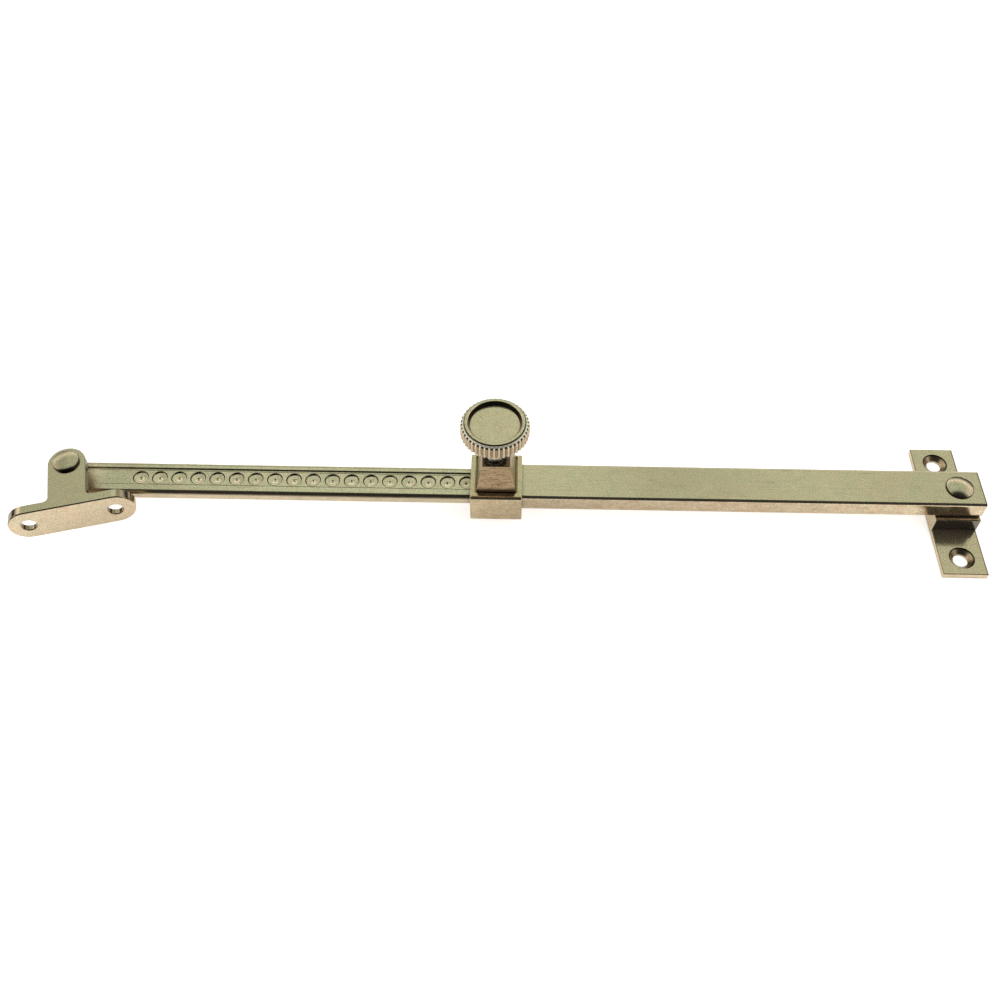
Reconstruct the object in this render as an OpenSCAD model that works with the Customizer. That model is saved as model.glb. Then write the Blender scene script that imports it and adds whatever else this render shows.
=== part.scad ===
// Telescopic casement window stay with a knob-operated clamp screw.
// The frame plate is screwed flat to the window frame or sill. The outer arm
// turns on it about a riveted pivot. A dimpled bar slides in the outer arm and
// is held by the clamp screw. The bar's free end carries the sash bracket,
// which is screwed to the face of the sash rail.
//
// Frame: origin on the frame pivot's axis at the frame plate's underside,
// +X away from the arm, +Y away from the sash bracket's screwed face, +Z up.
// The arm runs along -X. Front is -Y and rear is +Y. All sizes are in
// millimetres, and heights are above the plate's underside.

/* [Frame plate] */
// Width of the frame plate
plate_w = 13; // [12:0.1:16]
// Length of the frame plate, across the arm
plate_l = 46.4; // [44:0.1:60]
// Thickness of the frame plate
plate_t = 1.9; // [1.6:0.1:2.6]
// Length of the raised pivot block, across the arm
block_l = 15; // [13:0.5:20]
// Height of the raised pivot block's top above the mounting face
block_top = 6.3; // [5.5:0.1:7.5]
// Distance between the two screw holes in the frame plate
plate_screw_gap = 35; // [32:0.5:38]

/* [Screw holes] */
// Radius of every screw hole
screw_r = 2.1; // [1.7:0.1:2.4]
// Radius of every countersink at its wide end
csk_r = 3.65; // [3.2:0.05:4]
// Depth of every countersink
csk_depth = 1.3; // [0.9:0.1:1.4]

/* [Pivots] */
// Radius of both pivot rivets' shanks
pivot_r = 2.5; // [2:0.1:2.8]
// Radius of the frame pivot rivet's domed head
frame_head_r = 3.8; // [3.6:0.1:5]
// Radius of the sash pivot rivet's domed head
sash_head_r = 3.7; // [3.6:0.1:4.8]
// Height of the frame pivot rivet's domed head
head_h = 1.5; // [1.2:0.1:2.4]
// Running clearance of each pivot, on the radius
run_gap = 0.05; // [0.02:0.01:0.09]

/* [Outer arm] */
// Width of the outer tube
tube_w = 12.7; // [12:0.1:14]
// Height of the outer tube
tube_h = 5.6; // [5.4:0.1:6.2]
// Wall thickness of the outer tube
tube_wall = 0.7; // [0.5:0.05:0.75]
// How far the outer tube reaches past the frame pivot
tube_over = 6.7; // [5.5:0.1:9]
// Distance from the frame pivot to the clamp collar's sash-end face
collar_far = 142.2; // [138:0.1:150]
// Length of the clamp collar along the arm
collar_len = 15; // [14:0.5:18]
// Width of the clamp collar
collar_w = 16.5; // [15.6:0.1:20]
// Height of the clamp collar
collar_h = 10.15; // [9.9:0.05:12]

/* [Clamp screw] */
// Height of the tapered screw tower above the collar
tower_h = 9.35; // [7:0.05:9.5]
// Radius of the clamp screw
clamp_r = 2.5; // [2:0.1:2.5]
// Offset of the screw's axis from the collar's middle, along the arm
screw_off = -0.4; // [-0.4:0.1:0.4]
// Radius over the knob's knurled teeth
knob_r = 9.65; // [9:0.05:12]
// Number of teeth in the knob's straight knurl
knurl_n = 44; // [24:2:60]
// Height of the knob's top above the mounting face
knob_top = 37.8; // [37:0.1:42]

/* [Sliding bar] */
// Distance from the frame pivot to the sash pivot, as extended here
pivot_gap = 259.3; // [252:0.1:262]
// Width of the sliding bar
bar_w = 10.5; // [10:0.1:10.5]
// Thickness of the sliding bar over its raised rear lip
bar_t = 3.4; // [3:0.1:3.4]
// Distance from one dimple to the next
dimple_gap = 5.65; // [5:0.05:5.7]
// Number of dimples along the bar
dimple_n = 20; // [12:1:20]
// Radius of each dimple at the bar's surface
dimple_r = 2.2; // [1.6:0.1:2.3]
// Depth of each dimple
dimple_depth = 0.6; // [0.3:0.05:0.8]

/* [Sash bracket] */
// Length of the sash bracket's foot
foot_l = 35.2; // [34:0.1:44]
// Height of the sash bracket's foot
foot_h = 11.2; // [10:0.1:12]
// Thickness of the foot and of the tab
foot_t = 3.0; // [2.6:0.1:3.4]
// Width of the tab that the sash pivot passes through
tab_w = 10.6; // [10:0.1:13]
// Distance from the sash pivot to the foot's screwed face
foot_reach = 16.3; // [15.5:0.1:20]
// Distance between the two screw holes in the foot
foot_screw_gap = 24; // [20:0.5:24]
// Angle of the sash bracket from the arm, as posed here
bracket_yaw = 15; // [0:1:20]

/* [Hidden] */
$fn = 64;
overrun = 0.5;                   // how far a cutter runs past a face
fit = 0.02;                      // static gap, on the radius or per side

// rivets
head_gap = 0.03;                 // gap under each head
shank_rise = 0.2;                // how far each shank rises past the part under its head

// outer arm
washer_t = 0.46;
tube_z0 = block_top + washer_t + 0.04;
tube_z1 = tube_z0 + tube_h;
bore_z0 = tube_z0 + tube_wall;
bore_z1 = tube_z1 - tube_wall;
bore_w = tube_w - 2*tube_wall;
collar_z0 = 3.9;
collar_z1 = collar_z0 + collar_h;
throat_l = 3.5;                  // the collar's narrower part, beyond the tube
tube_end = -(collar_far - throat_l);

// sliding bar
bar_z0 = bore_z0 + 0.12;
bar_z1 = bar_z0 + bar_t;
lip_w = 1.75;                    // raised lip along the bar's rear edge
lip_h = 0.45;
panel_z = bar_z1 - lip_h;
edge_r = 1.15;                   // rounded front upper edge
sash_x = -pivot_gap;
dimple_x0 = sash_x + 19.85;
dimple_y = 0.25;
eye_h = 2.3;                     // raised eye at the sash pivot, narrower than the bar
eye_r = 3.7;
eye_z = bar_z1 + eye_h;

// stop shoe, the bar's tongue inside it and the rivet through both
shoe_x0 = -124.2;
shoe_len = 8;
tongue_w = 7;
tongue_t = 2.2;
tongue_z = bar_z0 + 0.6;
shoe_rivet_x = shoe_x0 + 3.6;
shoe_rivet_r = 1.2;

// screw tower
tower_x = -(collar_far - collar_len/2);
tower_base_l = 11.52;            // along the arm
tower_top_l = 7.95;
tower_base_front = -5.8;         // Y of the front and rear faces
tower_top_front = -4.0;
tower_base_rear = 7.2;
tower_top_rear = 5.4;
pocket_depth = 0.6;
tower_z0 = collar_z1 - pocket_depth;
tower_z1 = collar_z1 + tower_h;

// clamp screw and its foot
screw_x = tower_x + screw_off;
screw_y = dimple_y;              // the screw's axis lies over the row of dimples
screw_bore_r = clamp_r + run_gap;
foot_nose_z = bar_z1 + 0.08;
screw_z0 = foot_nose_z + 2.1;
spindle_r = 1.0;                 // thin upper end of the foot, inside the screw

// knob
neck_z = tower_z1 + 2.2;
knob_band0 = knob_top - 4.8;     // lower edge of the knurled band
knob_ledge = knob_top - 0.8;     // upper edge of the knurled band
neck_top = knob_band0 - 1.6;     // where the neck meets the conical underside
knob_root = knob_r - 0.55;       // radius at the bottom of the knurl

// sash bracket
sash_wash_t = 1.0;
tail_wash_t = 0.6;
tab_z0 = eye_z + sash_wash_t + 0.03;
tab_z1 = tab_z0 + foot_t;
foot_mid_z = tab_z1 - foot_h/2;
foot_rear_y = -foot_reach + foot_t;
root_overlap = 0.1;              // how far the root fillets sink into the foot or tab

nickel = [0.74, 0.71, 0.57];
nickel_dark = [0.62, 0.57, 0.45];
steel = [0.62, 0.61, 0.58];
brass_raw = [0.78, 0.66, 0.36];

// radius of the sphere whose cap has the given base radius and height
function cap_sphere_r(radius, height) = (radius*radius + height*height)/(2*height);

// a spherical cap standing on z = 0
module cap(radius, height) {
    sphere_r = cap_sphere_r(radius, height);
    intersection() {
        translate([0, 0, height - sphere_r]) sphere(r = sphere_r, $fn = 96);
        cylinder(h = height + 1, r = radius);
    }
}

// a hole cutter from one height to another, with overrun at both ends
module hole(radius, bottom, top) {
    translate([0, 0, bottom - overrun]) cylinder(h = top - bottom + 2*overrun, r = radius);
}

// a screw hole from z = 0 to z = depth, countersunk at z = depth
module csk_hole(depth) {
    slope = (csk_r - screw_r)/csk_depth;
    hole(screw_r, 0, depth);
    translate([0, 0, depth - csk_depth])
        cylinder(h = csk_depth + overrun, r1 = screw_r, r2 = csk_r + slope*overrun);
}

// a rivet head standing on z = 0: a straight rim under a dome
module rivet_head(radius, rim_h, dome_h) {
    cylinder(h = rim_h, r = radius);
    translate([0, 0, rim_h]) cap(radius, dome_h);
}

// a washer around a pivot shank, standing on z = 0
module washer(radius, thickness) {
    difference() {
        cylinder(h = thickness, r = radius);
        hole(pivot_r + fit, 0, thickness);
    }
}

// the casting screwed to the frame: a flat plate with a raised pivot block
module frame_plate() {
    tail_csk_depth = 1.6;
    bore_r = pivot_r + fit;
    color(nickel) difference() {
        union() {
            translate([-plate_w/2, -plate_l/2, 0]) cube([plate_w, plate_l, plate_t]);
            translate([-plate_w/2, -block_l/2, 0]) cube([plate_w, block_l, block_top]);
        }
        for (side = [-1, 1])
            translate([0, side*plate_screw_gap/2, 0]) csk_hole(plate_t);
        hole(bore_r, 0, block_top);
        // 45-degree countersink under the plate for the rivet's tail
        translate([0, 0, -overrun])
            cylinder(h = tail_csk_depth + overrun,
                     r1 = bore_r + tail_csk_depth + overrun, r2 = bore_r);
    }
}

module frame_pivot_rivet() {
    rim_h = 0.55;
    tail_z = 0.1;
    tail_h = 1.45;
    color(nickel) union() {
        translate([0, 0, tube_z1 + head_gap]) rivet_head(frame_head_r, rim_h, head_h - rim_h);
        translate([0, 0, tail_z]) cylinder(h = tube_z1 + shank_rise - tail_z, r = pivot_r);
        translate([0, 0, tail_z]) cylinder(h = tail_h, r1 = pivot_r + tail_h, r2 = pivot_r);
    }
}

module frame_pivot_washer() {
    color(brass_raw) translate([0, 0, block_top]) washer(5.6, washer_t);
}

// box tube, open at both ends
module outer_tube() {
    length = tube_over - tube_end;
    foot_clearance_r = 3.0;
    color(nickel) difference() {
        translate([tube_end, -tube_w/2, tube_z0]) cube([length, tube_w, tube_h]);
        translate([tube_end - overrun, -bore_w/2, bore_z0])
            cube([length + 2*overrun, bore_w, bore_z1 - bore_z0]);
        hole(pivot_r + run_gap, tube_z0, tube_z1);
        // clearance for the clamp screw's foot through the upper wall
        translate([screw_x, screw_y, 0]) hole(foot_clearance_r, bore_z1, tube_z1);
    }
}

// block that fills the tube around the frame pivot
module tube_end_plug() {
    reach = 8.5;                 // from the pivot towards the sash
    inset = 0.4;                 // from the tube's end
    color(brass_raw) difference() {
        translate([-reach, -bore_w/2 + fit, bore_z0 + fit])
            cube([tube_over + reach - inset, bore_w - 2*fit, bore_z1 - bore_z0 - 2*fit]);
        hole(pivot_r + run_gap, bore_z0, bore_z1);
    }
}

// sleeve over the tube's sash end, with a close throat that guides the bar
module clamp_collar() {
    throat_side_gap = 0.1;
    throat_z_gap = 0.08;
    pocket_gap = 0.3;
    screw_cut_h = 3;
    color(nickel) difference() {
        translate([-collar_far, -collar_w/2, collar_z0]) cube([collar_len, collar_w, collar_h]);
        translate([tube_end, -tube_w/2 - fit, tube_z0 - fit])
            cube([collar_len, tube_w + 2*fit, tube_h + 2*fit]);
        translate([-collar_far - overrun, -bar_w/2 - throat_side_gap, bar_z0 - throat_z_gap])
            cube([collar_len, bar_w + 2*throat_side_gap, bar_t + 2*throat_z_gap]);
        // shallow pocket the screw tower is seated in
        translate([tower_x - tower_base_l/2 - pocket_gap, tower_base_front - pocket_gap, tower_z0])
            cube([tower_base_l + 2*pocket_gap,
                  tower_base_rear - tower_base_front + 2*pocket_gap, pocket_depth + overrun]);
        translate([screw_x, screw_y, tube_z1 - overrun])
            cylinder(h = screw_cut_h, r = screw_bore_r);
    }
}

// side view of the tower: straight inside the pocket, tapered above the collar
module tower_outline(base_min, base_max, top_min, top_max) {
    polygon([[base_min, tower_z0], [base_max, tower_z0], [base_max, collar_z1],
             [top_max, tower_z1], [top_min, tower_z1], [base_min, collar_z1]]);
}

// tapered boss bored for the clamp screw, where two extruded side views meet
module screw_tower() {
    half_cut = 20;               // half the length of each extrusion
    color(nickel_dark) difference() {
        intersection() {
            translate([tower_x, half_cut, 0]) rotate([90, 0, 0]) linear_extrude(2*half_cut)
                tower_outline(-tower_base_l/2, tower_base_l/2, -tower_top_l/2, tower_top_l/2);
            translate([tower_x - half_cut, 0, 0]) rotate([90, 0, 90]) linear_extrude(2*half_cut)
                tower_outline(tower_base_front, tower_base_rear, tower_top_front, tower_top_rear);
        }
        translate([screw_x, screw_y, 0]) hole(screw_bore_r, tower_z0, tower_z1);
    }
}

// steel stud pressed into the knob, hollow at the tip for the swivelling foot
module clamp_screw() {
    socket_depth = 3.4;
    color(steel) translate([screw_x, screw_y, 0]) difference() {
        translate([0, 0, screw_z0]) cylinder(h = neck_top - screw_z0, r = clamp_r);
        translate([0, 0, screw_z0 - overrun])
            cylinder(h = socket_depth + overrun, r = spindle_r + run_gap);
    }
}

// outline of the straight knurl: each tooth's root, crest, crest and root
function knurl_points() =
    let (pitch = 360/knurl_n,
         root_half = 0.36*pitch,
         crest_half = 0.20*pitch,
         tooth = [[knob_root, -root_half], [knob_r, -crest_half],
                  [knob_r, crest_half], [knob_root, root_half]])  // radius, angle
    [for (i = [0:knurl_n - 1], corner = tooth)
        let (angle = i*pitch + corner[1])
        [corner[0]*cos(angle), corner[0]*sin(angle)]];

// turned knob with a knurled band, a raised rim, a dished top and a neck
module knob() {
    neck_r = 3.6;
    neck_chamfer = 0.3;
    cone_r = 5.2;                // wide end of the conical underside
    core_r = knob_root - 0.15;   // body inside the knurled band
    rim_r = knob_root - 0.42;    // raised rim inside the knurl
    rim_chamfer = 0.15;
    dish_r = rim_r - 1.18;
    dish_floor_r = dish_r - 0.67;
    dish_z = knob_top - 1.3;
    press_gap = 0.01;
    color(nickel) translate([screw_x, screw_y, 0]) difference() {
        union() {
            // radius, height
            rotate_extrude($fn = 128) polygon([
                [0, neck_z], [neck_r - neck_chamfer, neck_z],
                [neck_r, neck_z + neck_chamfer], [neck_r, neck_top],
                [cone_r, knob_band0], [core_r, knob_band0],
                [core_r, knob_ledge], [rim_r, knob_ledge],
                [rim_r, knob_top - rim_chamfer], [rim_r - rim_chamfer, knob_top],
                [dish_r, knob_top], [dish_floor_r, dish_z], [0, dish_z]]);
            translate([0, 0, knob_band0]) linear_extrude(knob_ledge - knob_band0)
                polygon(knurl_points());
        }
        translate([0, 0, neck_z - overrun])
            cylinder(h = neck_top - neck_z + overrun + fit, r = clamp_r + press_gap);
    }
}

// small round-nosed foot that seats in a dimple, free to turn on the screw
module pressure_foot() {
    body_r = dimple_r - 0.05;
    body_h = 1.5;
    body_top = screw_z0 - 0.05;
    spindle_z0 = screw_z0 - 0.2;
    spindle_h = 3.3;
    color(brass_raw) translate([screw_x, screw_y, 0]) union() {
        translate([0, 0, body_top]) mirror([0, 0, 1]) {
            cylinder(h = body_h, r = body_r);
            translate([0, 0, body_h]) cap(body_r, body_top - body_h - foot_nose_z);
        }
        translate([0, 0, spindle_z0]) cylinder(h = spindle_h, r = spindle_r);
    }
}

// the bar's section: raised lip at the rear, rounded front upper edge
module bar_section() {
    translate([-bar_w/2, bar_z0]) square([bar_w, panel_z - edge_r - bar_z0]);
    translate([-bar_w/2 + edge_r, bar_z0]) square([bar_w - edge_r, panel_z - bar_z0]);
    translate([-bar_w/2 + edge_r, panel_z - edge_r]) circle(r = edge_r);
    translate([bar_w/2 - lip_w, bar_z0]) square([lip_w, bar_t]);
}

// one dimple with its small conical centre mark, as a cutter
module dimple() {
    sphere_r = cap_sphere_r(dimple_r, dimple_depth);
    floor_z = panel_z - dimple_depth;
    mark_depth = 0.22;
    translate([0, 0, floor_z + sphere_r]) sphere(r = sphere_r, $fn = 64);
    translate([0, 0, floor_z - mark_depth]) cylinder(h = 0.5, r1 = 0.1, r2 = 0.5);
}

// dimpled bar with a raised eye for the sash pivot and a tongue for its stop
module slide_bar() {
    length = shoe_x0 - sash_x;
    tongue_root = 1;             // tongue's overlap with the bar
    tongue_short = 0.4;          // from the tongue's tip to the shoe's end
    score_x0 = sash_x + 7;
    score_off = dimple_r + 0.28;
    score_w = 0.2;
    score_depth = 0.12;
    color(nickel) difference() {
        union() {
            translate([sash_x, 0, 0]) rotate([90, 0, 90]) linear_extrude(length) bar_section();
            translate([sash_x, 0, bar_z0]) cylinder(h = panel_z - bar_z0, r = bar_w/2);
            translate([sash_x, 0, bar_z0]) cylinder(h = eye_z - bar_z0, r = eye_r);
            translate([shoe_x0 - tongue_root, -tongue_w/2, tongue_z])
                cube([shoe_len + tongue_root - tongue_short, tongue_w, tongue_t]);
        }
        for (i = [0:dimple_n - 1])
            translate([dimple_x0 + i*dimple_gap, dimple_y, 0]) dimple();
        // fine scored lines either side of the dimples, out through the inner end
        for (side = [-1, 1])
            translate([score_x0, dimple_y + side*score_off - score_w/2, panel_z - score_depth])
                cube([length, score_w, 1]);
        translate([sash_x, 0, 0]) hole(pivot_r + fit, bar_z0, eye_z);
        translate([shoe_rivet_x, 0, 0]) hole(shoe_rivet_r + fit, bar_z0, bar_z1);
    }
}

// block on the bar's inner end: it rides in the tube and stops the bar pulling out
module bar_stop_shoe() {
    slide_gap = 0.05;
    slot_short = 0.35;           // from the slot's blind end to the shoe's end
    bottom = bore_z0 + slide_gap;
    top = bore_z1 - slide_gap;
    color(brass_raw) difference() {
        translate([shoe_x0, -bore_w/2 + slide_gap, bottom])
            cube([shoe_len, bore_w - 2*slide_gap, top - bottom]);
        translate([shoe_x0 - overrun, -tongue_w/2 - fit, tongue_z - fit])
            cube([shoe_len + overrun - slot_short, tongue_w + 2*fit, tongue_t + 2*fit]);
        translate([shoe_rivet_x, 0, 0]) hole(shoe_rivet_r + fit, bottom, top);
    }
}

module stop_shoe_rivet() {
    end_gap = 0.1;
    color(steel) translate([shoe_rivet_x, 0, bore_z0 + end_gap])
        cylinder(h = bore_z1 - bore_z0 - 2*end_gap, r = shoe_rivet_r);
}

// outline of the tab in plan, with its root fillets
module tab_plan() {
    fillet_r = 1.4;
    inset = 0.2;                 // from the foot's screwed face
    circle(r = tab_w/2);
    translate([-tab_w/2, -foot_reach + inset]) square([tab_w, foot_reach - inset]);
    for (side = [-1, 1]) difference() {
        translate([side*(tab_w/2 + fillet_r/2) - fillet_r/2, foot_rear_y - root_overlap])
            square([fillet_r, fillet_r + root_overlap]);
        translate([side*(tab_w/2 + fillet_r), foot_rear_y + fillet_r]) circle(r = fillet_r);
    }
}

// angle bracket: a round-ended tab for the pivot and an obround screwed foot
module sash_bracket() {
    end_r = foot_h/2;
    fillet_r = 1.2;
    color(nickel) translate([sash_x, 0, 0]) rotate([0, 0, bracket_yaw]) difference() {
        union() {
            translate([0, 0, tab_z0]) linear_extrude(foot_t) tab_plan();
            translate([0, -foot_reach, foot_mid_z]) rotate([-90, 0, 0]) linear_extrude(foot_t) {
                square([foot_l - 2*end_r, foot_h], center = true);
                for (side = [-1, 1])
                    translate([side*(foot_l/2 - end_r), 0]) circle(r = end_r);
            }
            // inside fillet under the tab
            difference() {
                translate([-tab_w/2, foot_rear_y - root_overlap, tab_z0 - fillet_r])
                    cube([tab_w, fillet_r + root_overlap, fillet_r + root_overlap]);
                translate([-tab_w/2 - 1, foot_rear_y + fillet_r, tab_z0 - fillet_r])
                    rotate([0, 90, 0]) cylinder(h = tab_w + 2, r = fillet_r);
            }
        }
        hole(pivot_r + run_gap, tab_z0, tab_z1);
        for (side = [-1, 1])
            translate([side*foot_screw_gap/2, -foot_reach, foot_mid_z])
                rotate([-90, 0, 0]) csk_hole(foot_t);
    }
}

module sash_pivot_rivet() {
    shank_z0 = bar_z0 - 0.9;
    color(nickel) translate([sash_x, 0, 0]) union() {
        translate([0, 0, tab_z1 + head_gap]) rivet_head(sash_head_r, rim_h = 0.9, dome_h = 0.55);
        translate([0, 0, shank_z0]) cylinder(h = tab_z1 + shank_rise - shank_z0, r = pivot_r);
        // domed tail under the tail washer
        translate([0, 0, bar_z0 - tail_wash_t]) mirror([0, 0, 1]) cap(radius = 3.3, height = 0.9);
    }
}

module sash_pivot_washer() {
    color(brass_raw) translate([sash_x, 0, eye_z]) washer(eye_r, sash_wash_t);
}

module sash_tail_washer() {
    color(brass_raw) translate([sash_x, 0, bar_z0 - tail_wash_t]) washer(4.2, tail_wash_t);
}

frame_plate();
frame_pivot_rivet();
frame_pivot_washer();
outer_tube();
tube_end_plug();
clamp_collar();
screw_tower();
clamp_screw();
knob();
pressure_foot();
slide_bar();
bar_stop_shoe();
stop_shoe_rivet();
sash_bracket();
sash_pivot_rivet();
sash_pivot_washer();
sash_tail_washer();
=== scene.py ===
"""Casement window stay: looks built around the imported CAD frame.

The stay lies along X with +Z up and its front towards -Y. The frame plate and its pivot are at
x = 0, the sash bracket is at the -X end, and the sliding bar runs between them into the tube.
Lengths are millimetres in the row frame and become metres in Shape.build and the modifiers.
"""

import math
import random
from dataclasses import dataclass
from functools import cached_property

import bmesh
import bpy
from mathutils import Matrix, Vector


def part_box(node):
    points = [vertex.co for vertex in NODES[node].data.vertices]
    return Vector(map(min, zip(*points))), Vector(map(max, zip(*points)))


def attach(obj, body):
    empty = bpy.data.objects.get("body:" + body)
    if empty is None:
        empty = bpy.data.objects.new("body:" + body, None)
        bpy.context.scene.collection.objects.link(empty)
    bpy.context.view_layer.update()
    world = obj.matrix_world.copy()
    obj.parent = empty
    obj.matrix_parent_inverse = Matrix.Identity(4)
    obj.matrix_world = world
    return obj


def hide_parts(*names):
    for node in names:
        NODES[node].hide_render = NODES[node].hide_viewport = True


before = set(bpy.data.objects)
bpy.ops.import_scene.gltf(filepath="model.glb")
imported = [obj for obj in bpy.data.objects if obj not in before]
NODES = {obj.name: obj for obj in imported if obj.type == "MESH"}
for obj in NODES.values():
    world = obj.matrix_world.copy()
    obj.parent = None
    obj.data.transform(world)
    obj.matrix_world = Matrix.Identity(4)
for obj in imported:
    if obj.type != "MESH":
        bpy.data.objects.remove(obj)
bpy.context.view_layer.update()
MM = 0.001


# ---------------------------------------------------------------- places, from the frame
def box_mm(node):
    lo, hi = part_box(node)
    return [v * 1000 for v in lo], [v * 1000 for v in hi]


def middle_xy(lo, hi):
    return (lo[0] + hi[0]) / 2, (lo[1] + hi[1]) / 2


bar_lo, bar_hi = box_mm("slide_bar")
knob_lo, knob_hi = box_mm("knob")
tube_lo, tube_hi = box_mm("outer_tube")
collar_lo, collar_hi = box_mm("clamp_collar")
tower_lo, tower_hi = box_mm("screw_tower")
screw_lo, screw_hi = box_mm("clamp_screw")
frame_rivet_lo, frame_rivet_hi = box_mm("frame_pivot_rivet")
sash_rivet_lo, sash_rivet_hi = box_mm("sash_pivot_rivet")
shoe_lo, _ = box_mm("bar_stop_shoe")
plate_lo, plate_hi = box_mm("frame_plate")
bracket_lo, bracket_hi = box_mm("sash_bracket")

SCREW_AXIS = middle_xy(knob_lo, knob_hi)
SASH_AXIS = middle_xy(sash_rivet_lo, sash_rivet_hi)
FRAME_AXIS = middle_xy(frame_rivet_lo, frame_rivet_hi)

BAR_HEIGHT = 3.4                            # underside to the top of the rear lip
PANEL_Z = bar_lo[2] + BAR_HEIGHT - 0.45     # the dimpled panel, sunk below the lip
BAND_Y, BAND_HALF = 0.25, 2.46              # middle and half width of the dimpled band
DIMPLE_COUNT, DIMPLE_PITCH = 20, 5.65
FIRST_DIMPLE_X = SASH_AXIS[0] + 19.85

KNOB_TOP = knob_hi[2]
KNOB_LEDGE = KNOB_TOP - 0.8                 # shoulder outside the raised rim
KNOB_TIP = knob_hi[0] - SCREW_AXIS[0]       # radius over the teeth
KNOB_RIM = KNOB_TIP - 0.97                  # outside radius of the raised rim
KNOB_TEETH = 44

RIVET_SHANK = 2.5
PLATE_HOLES = (17.5, -17.5)                 # y of the plate's screw holes, at x = 0
BRACKET_HOLES = (12, -12)                   # along the foot, from the pivot
BRACKET_YAW = math.radians(15)
BRACKET_REACH = 16.3                        # pivot to the foot's screwed face


# ---------------------------------------------------------------- mesh helpers
def clean(mesh, merge, collapse, outward=True):
    """Merges doubles, drops slivers and shades smooth; merge and collapse are in metres."""
    bm = bmesh.new()
    bm.from_mesh(mesh)
    bmesh.ops.remove_doubles(bm, verts=bm.verts, dist=merge)
    bmesh.ops.dissolve_degenerate(bm, edges=bm.edges, dist=collapse)
    if outward:
        bmesh.ops.recalc_face_normals(bm, faces=bm.faces)
    for face in bm.faces:
        face.smooth = True
    bm.to_mesh(mesh)
    bm.free()


def place_object(name, data):
    ob = bpy.data.objects.new(name, data)
    bpy.context.scene.collection.objects.link(ob)
    return ob


class Shape:
    """Vertices in millimetres and faces, gathered before they become an object."""

    def __init__(self):
        self.verts = []
        self.faces = []

    def add(self, point):
        self.verts.append(point)
        return len(self.verts) - 1

    def row(self, points):
        return [self.add(p) for p in points]

    def ring(self, axis, z, polar):
        """Row of points round a vertical axis; polar holds (angle, radius)."""
        return self.row([(axis[0] + r * math.cos(a), axis[1] + r * math.sin(a), z)
                         for a, r in polar])

    def skin(self, rows):
        """Joins closed rows in turn; a row of one vertex closes as a fan."""
        for a, b in zip(rows, rows[1:]):
            count = max(len(a), len(b))
            for k in range(count):
                k2 = (k + 1) % count
                if len(a) == 1:
                    self.faces.append((a[0], b[k2], b[k]))
                elif len(b) == 1:
                    self.faces.append((a[k], a[k2], b[0]))
                else:
                    self.faces.append((a[k], a[k2], b[k2], b[k]))

    def build(self, name):
        mesh = bpy.data.meshes.new(name)
        mesh.from_pydata([(x * MM, y * MM, z * MM) for x, y, z in self.verts], [], self.faces)
        mesh.validate()
        clean(mesh, merge=2e-7, collapse=1e-7)
        return place_object(name, mesh)


def even_angles(count):
    return [2 * math.pi * k / count for k in range(count)]


def turn_shape(name, profile, spokes, axis):
    """Turned shape. profile holds (r, z[, tooth height]), spokes (angle, share of the tooth)."""
    shape = Shape()
    rows = []
    for r, z, *tooth in profile:
        if r < 1e-6:
            rows.append([shape.add((*axis, z))])
        else:
            rows.append(shape.ring(axis, z, [(a, r + sum(tooth) * share) for a, share in spokes]))
    shape.skin(rows)
    return shape.build(name)


def lathe(name, profile, count, axis):
    return turn_shape(name, profile, [(a, 0.0) for a in even_angles(count)], axis)


def cylinder(name, axis, z0, z1, r, count=64):
    return lathe(name, [(0, z0), (r, z0), (r, z1), (0, z1)], count, axis)


def cuboid(name, lo, hi):
    (x0, y0, z0), (x1, y1, z1) = lo, hi
    shape = Shape()
    for z in (z0, z1):
        shape.row([(x0, y0, z), (x1, y0, z), (x1, y1, z), (x0, y1, z)])
    shape.faces = [(0, 3, 2, 1), (4, 5, 6, 7), (0, 1, 5, 4), (1, 2, 6, 5), (2, 3, 7, 6),
                   (3, 0, 4, 7)]
    return shape.build(name)


def arc(cx, cz, r, start, end, steps):
    """Points of an arc between two angles in degrees."""
    angles = [math.radians(start + (end - start) * i / steps) for i in range(steps + 1)]
    return [(cx + r * math.cos(a), cz + r * math.sin(a)) for a in angles]


def rounded(profile, default=0.06, steps=4, support=0.03):
    """Rounds a profile's corners and adds support rows beside them.

    Entries are (r, z[, tooth height[, corner radius]]); the result is (r, z, tooth height).
    """
    full = [list(p) + [0.0, None][len(p) - 2:] for p in profile]

    def toward(p, q, length, distance):
        t = distance / length
        return tuple(p[k] + (q[k] - p[k]) * t for k in range(3))

    out = [tuple(full[0][:3])]
    for before, corner, after in zip(full, full[1:], full[2:]):
        u = (before[0] - corner[0], before[1] - corner[1])
        v = (after[0] - corner[0], after[1] - corner[1])
        lu, lv = math.hypot(*u), math.hypot(*v)
        if lu < 1e-6 or lv < 1e-6:
            continue
        cosine = (u[0] * v[0] + u[1] * v[1]) / lu / lv
        turn = math.pi - math.acos(max(-1, min(1, cosine)))
        if turn < math.radians(7):
            out.append(tuple(corner[:3]))
            continue
        radius = default if corner[3] is None else corner[3]
        cut = min(radius * math.tan(turn / 2), 0.42 * lu, 0.42 * lv)
        start = toward(corner, before, lu, cut)
        end = toward(corner, after, lv, cut)
        if lu * 0.5 > cut + support:
            out.append(toward(corner, before, lu, cut + support))
        if cut < 1e-4:
            out.append(tuple(corner[:3]))
        else:
            for k in range(steps + 1):
                t = k / steps
                w0, w1, w2 = (1 - t) ** 2, 2 * t * (1 - t), t * t
                out.append(tuple(w0 * start[j] + w1 * corner[j] + w2 * end[j] for j in range(3)))
        if lv * 0.5 > cut + support:
            out.append(toward(corner, after, lv, cut + support))
    out.append(tuple(full[-1][:3]))
    return out


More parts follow.
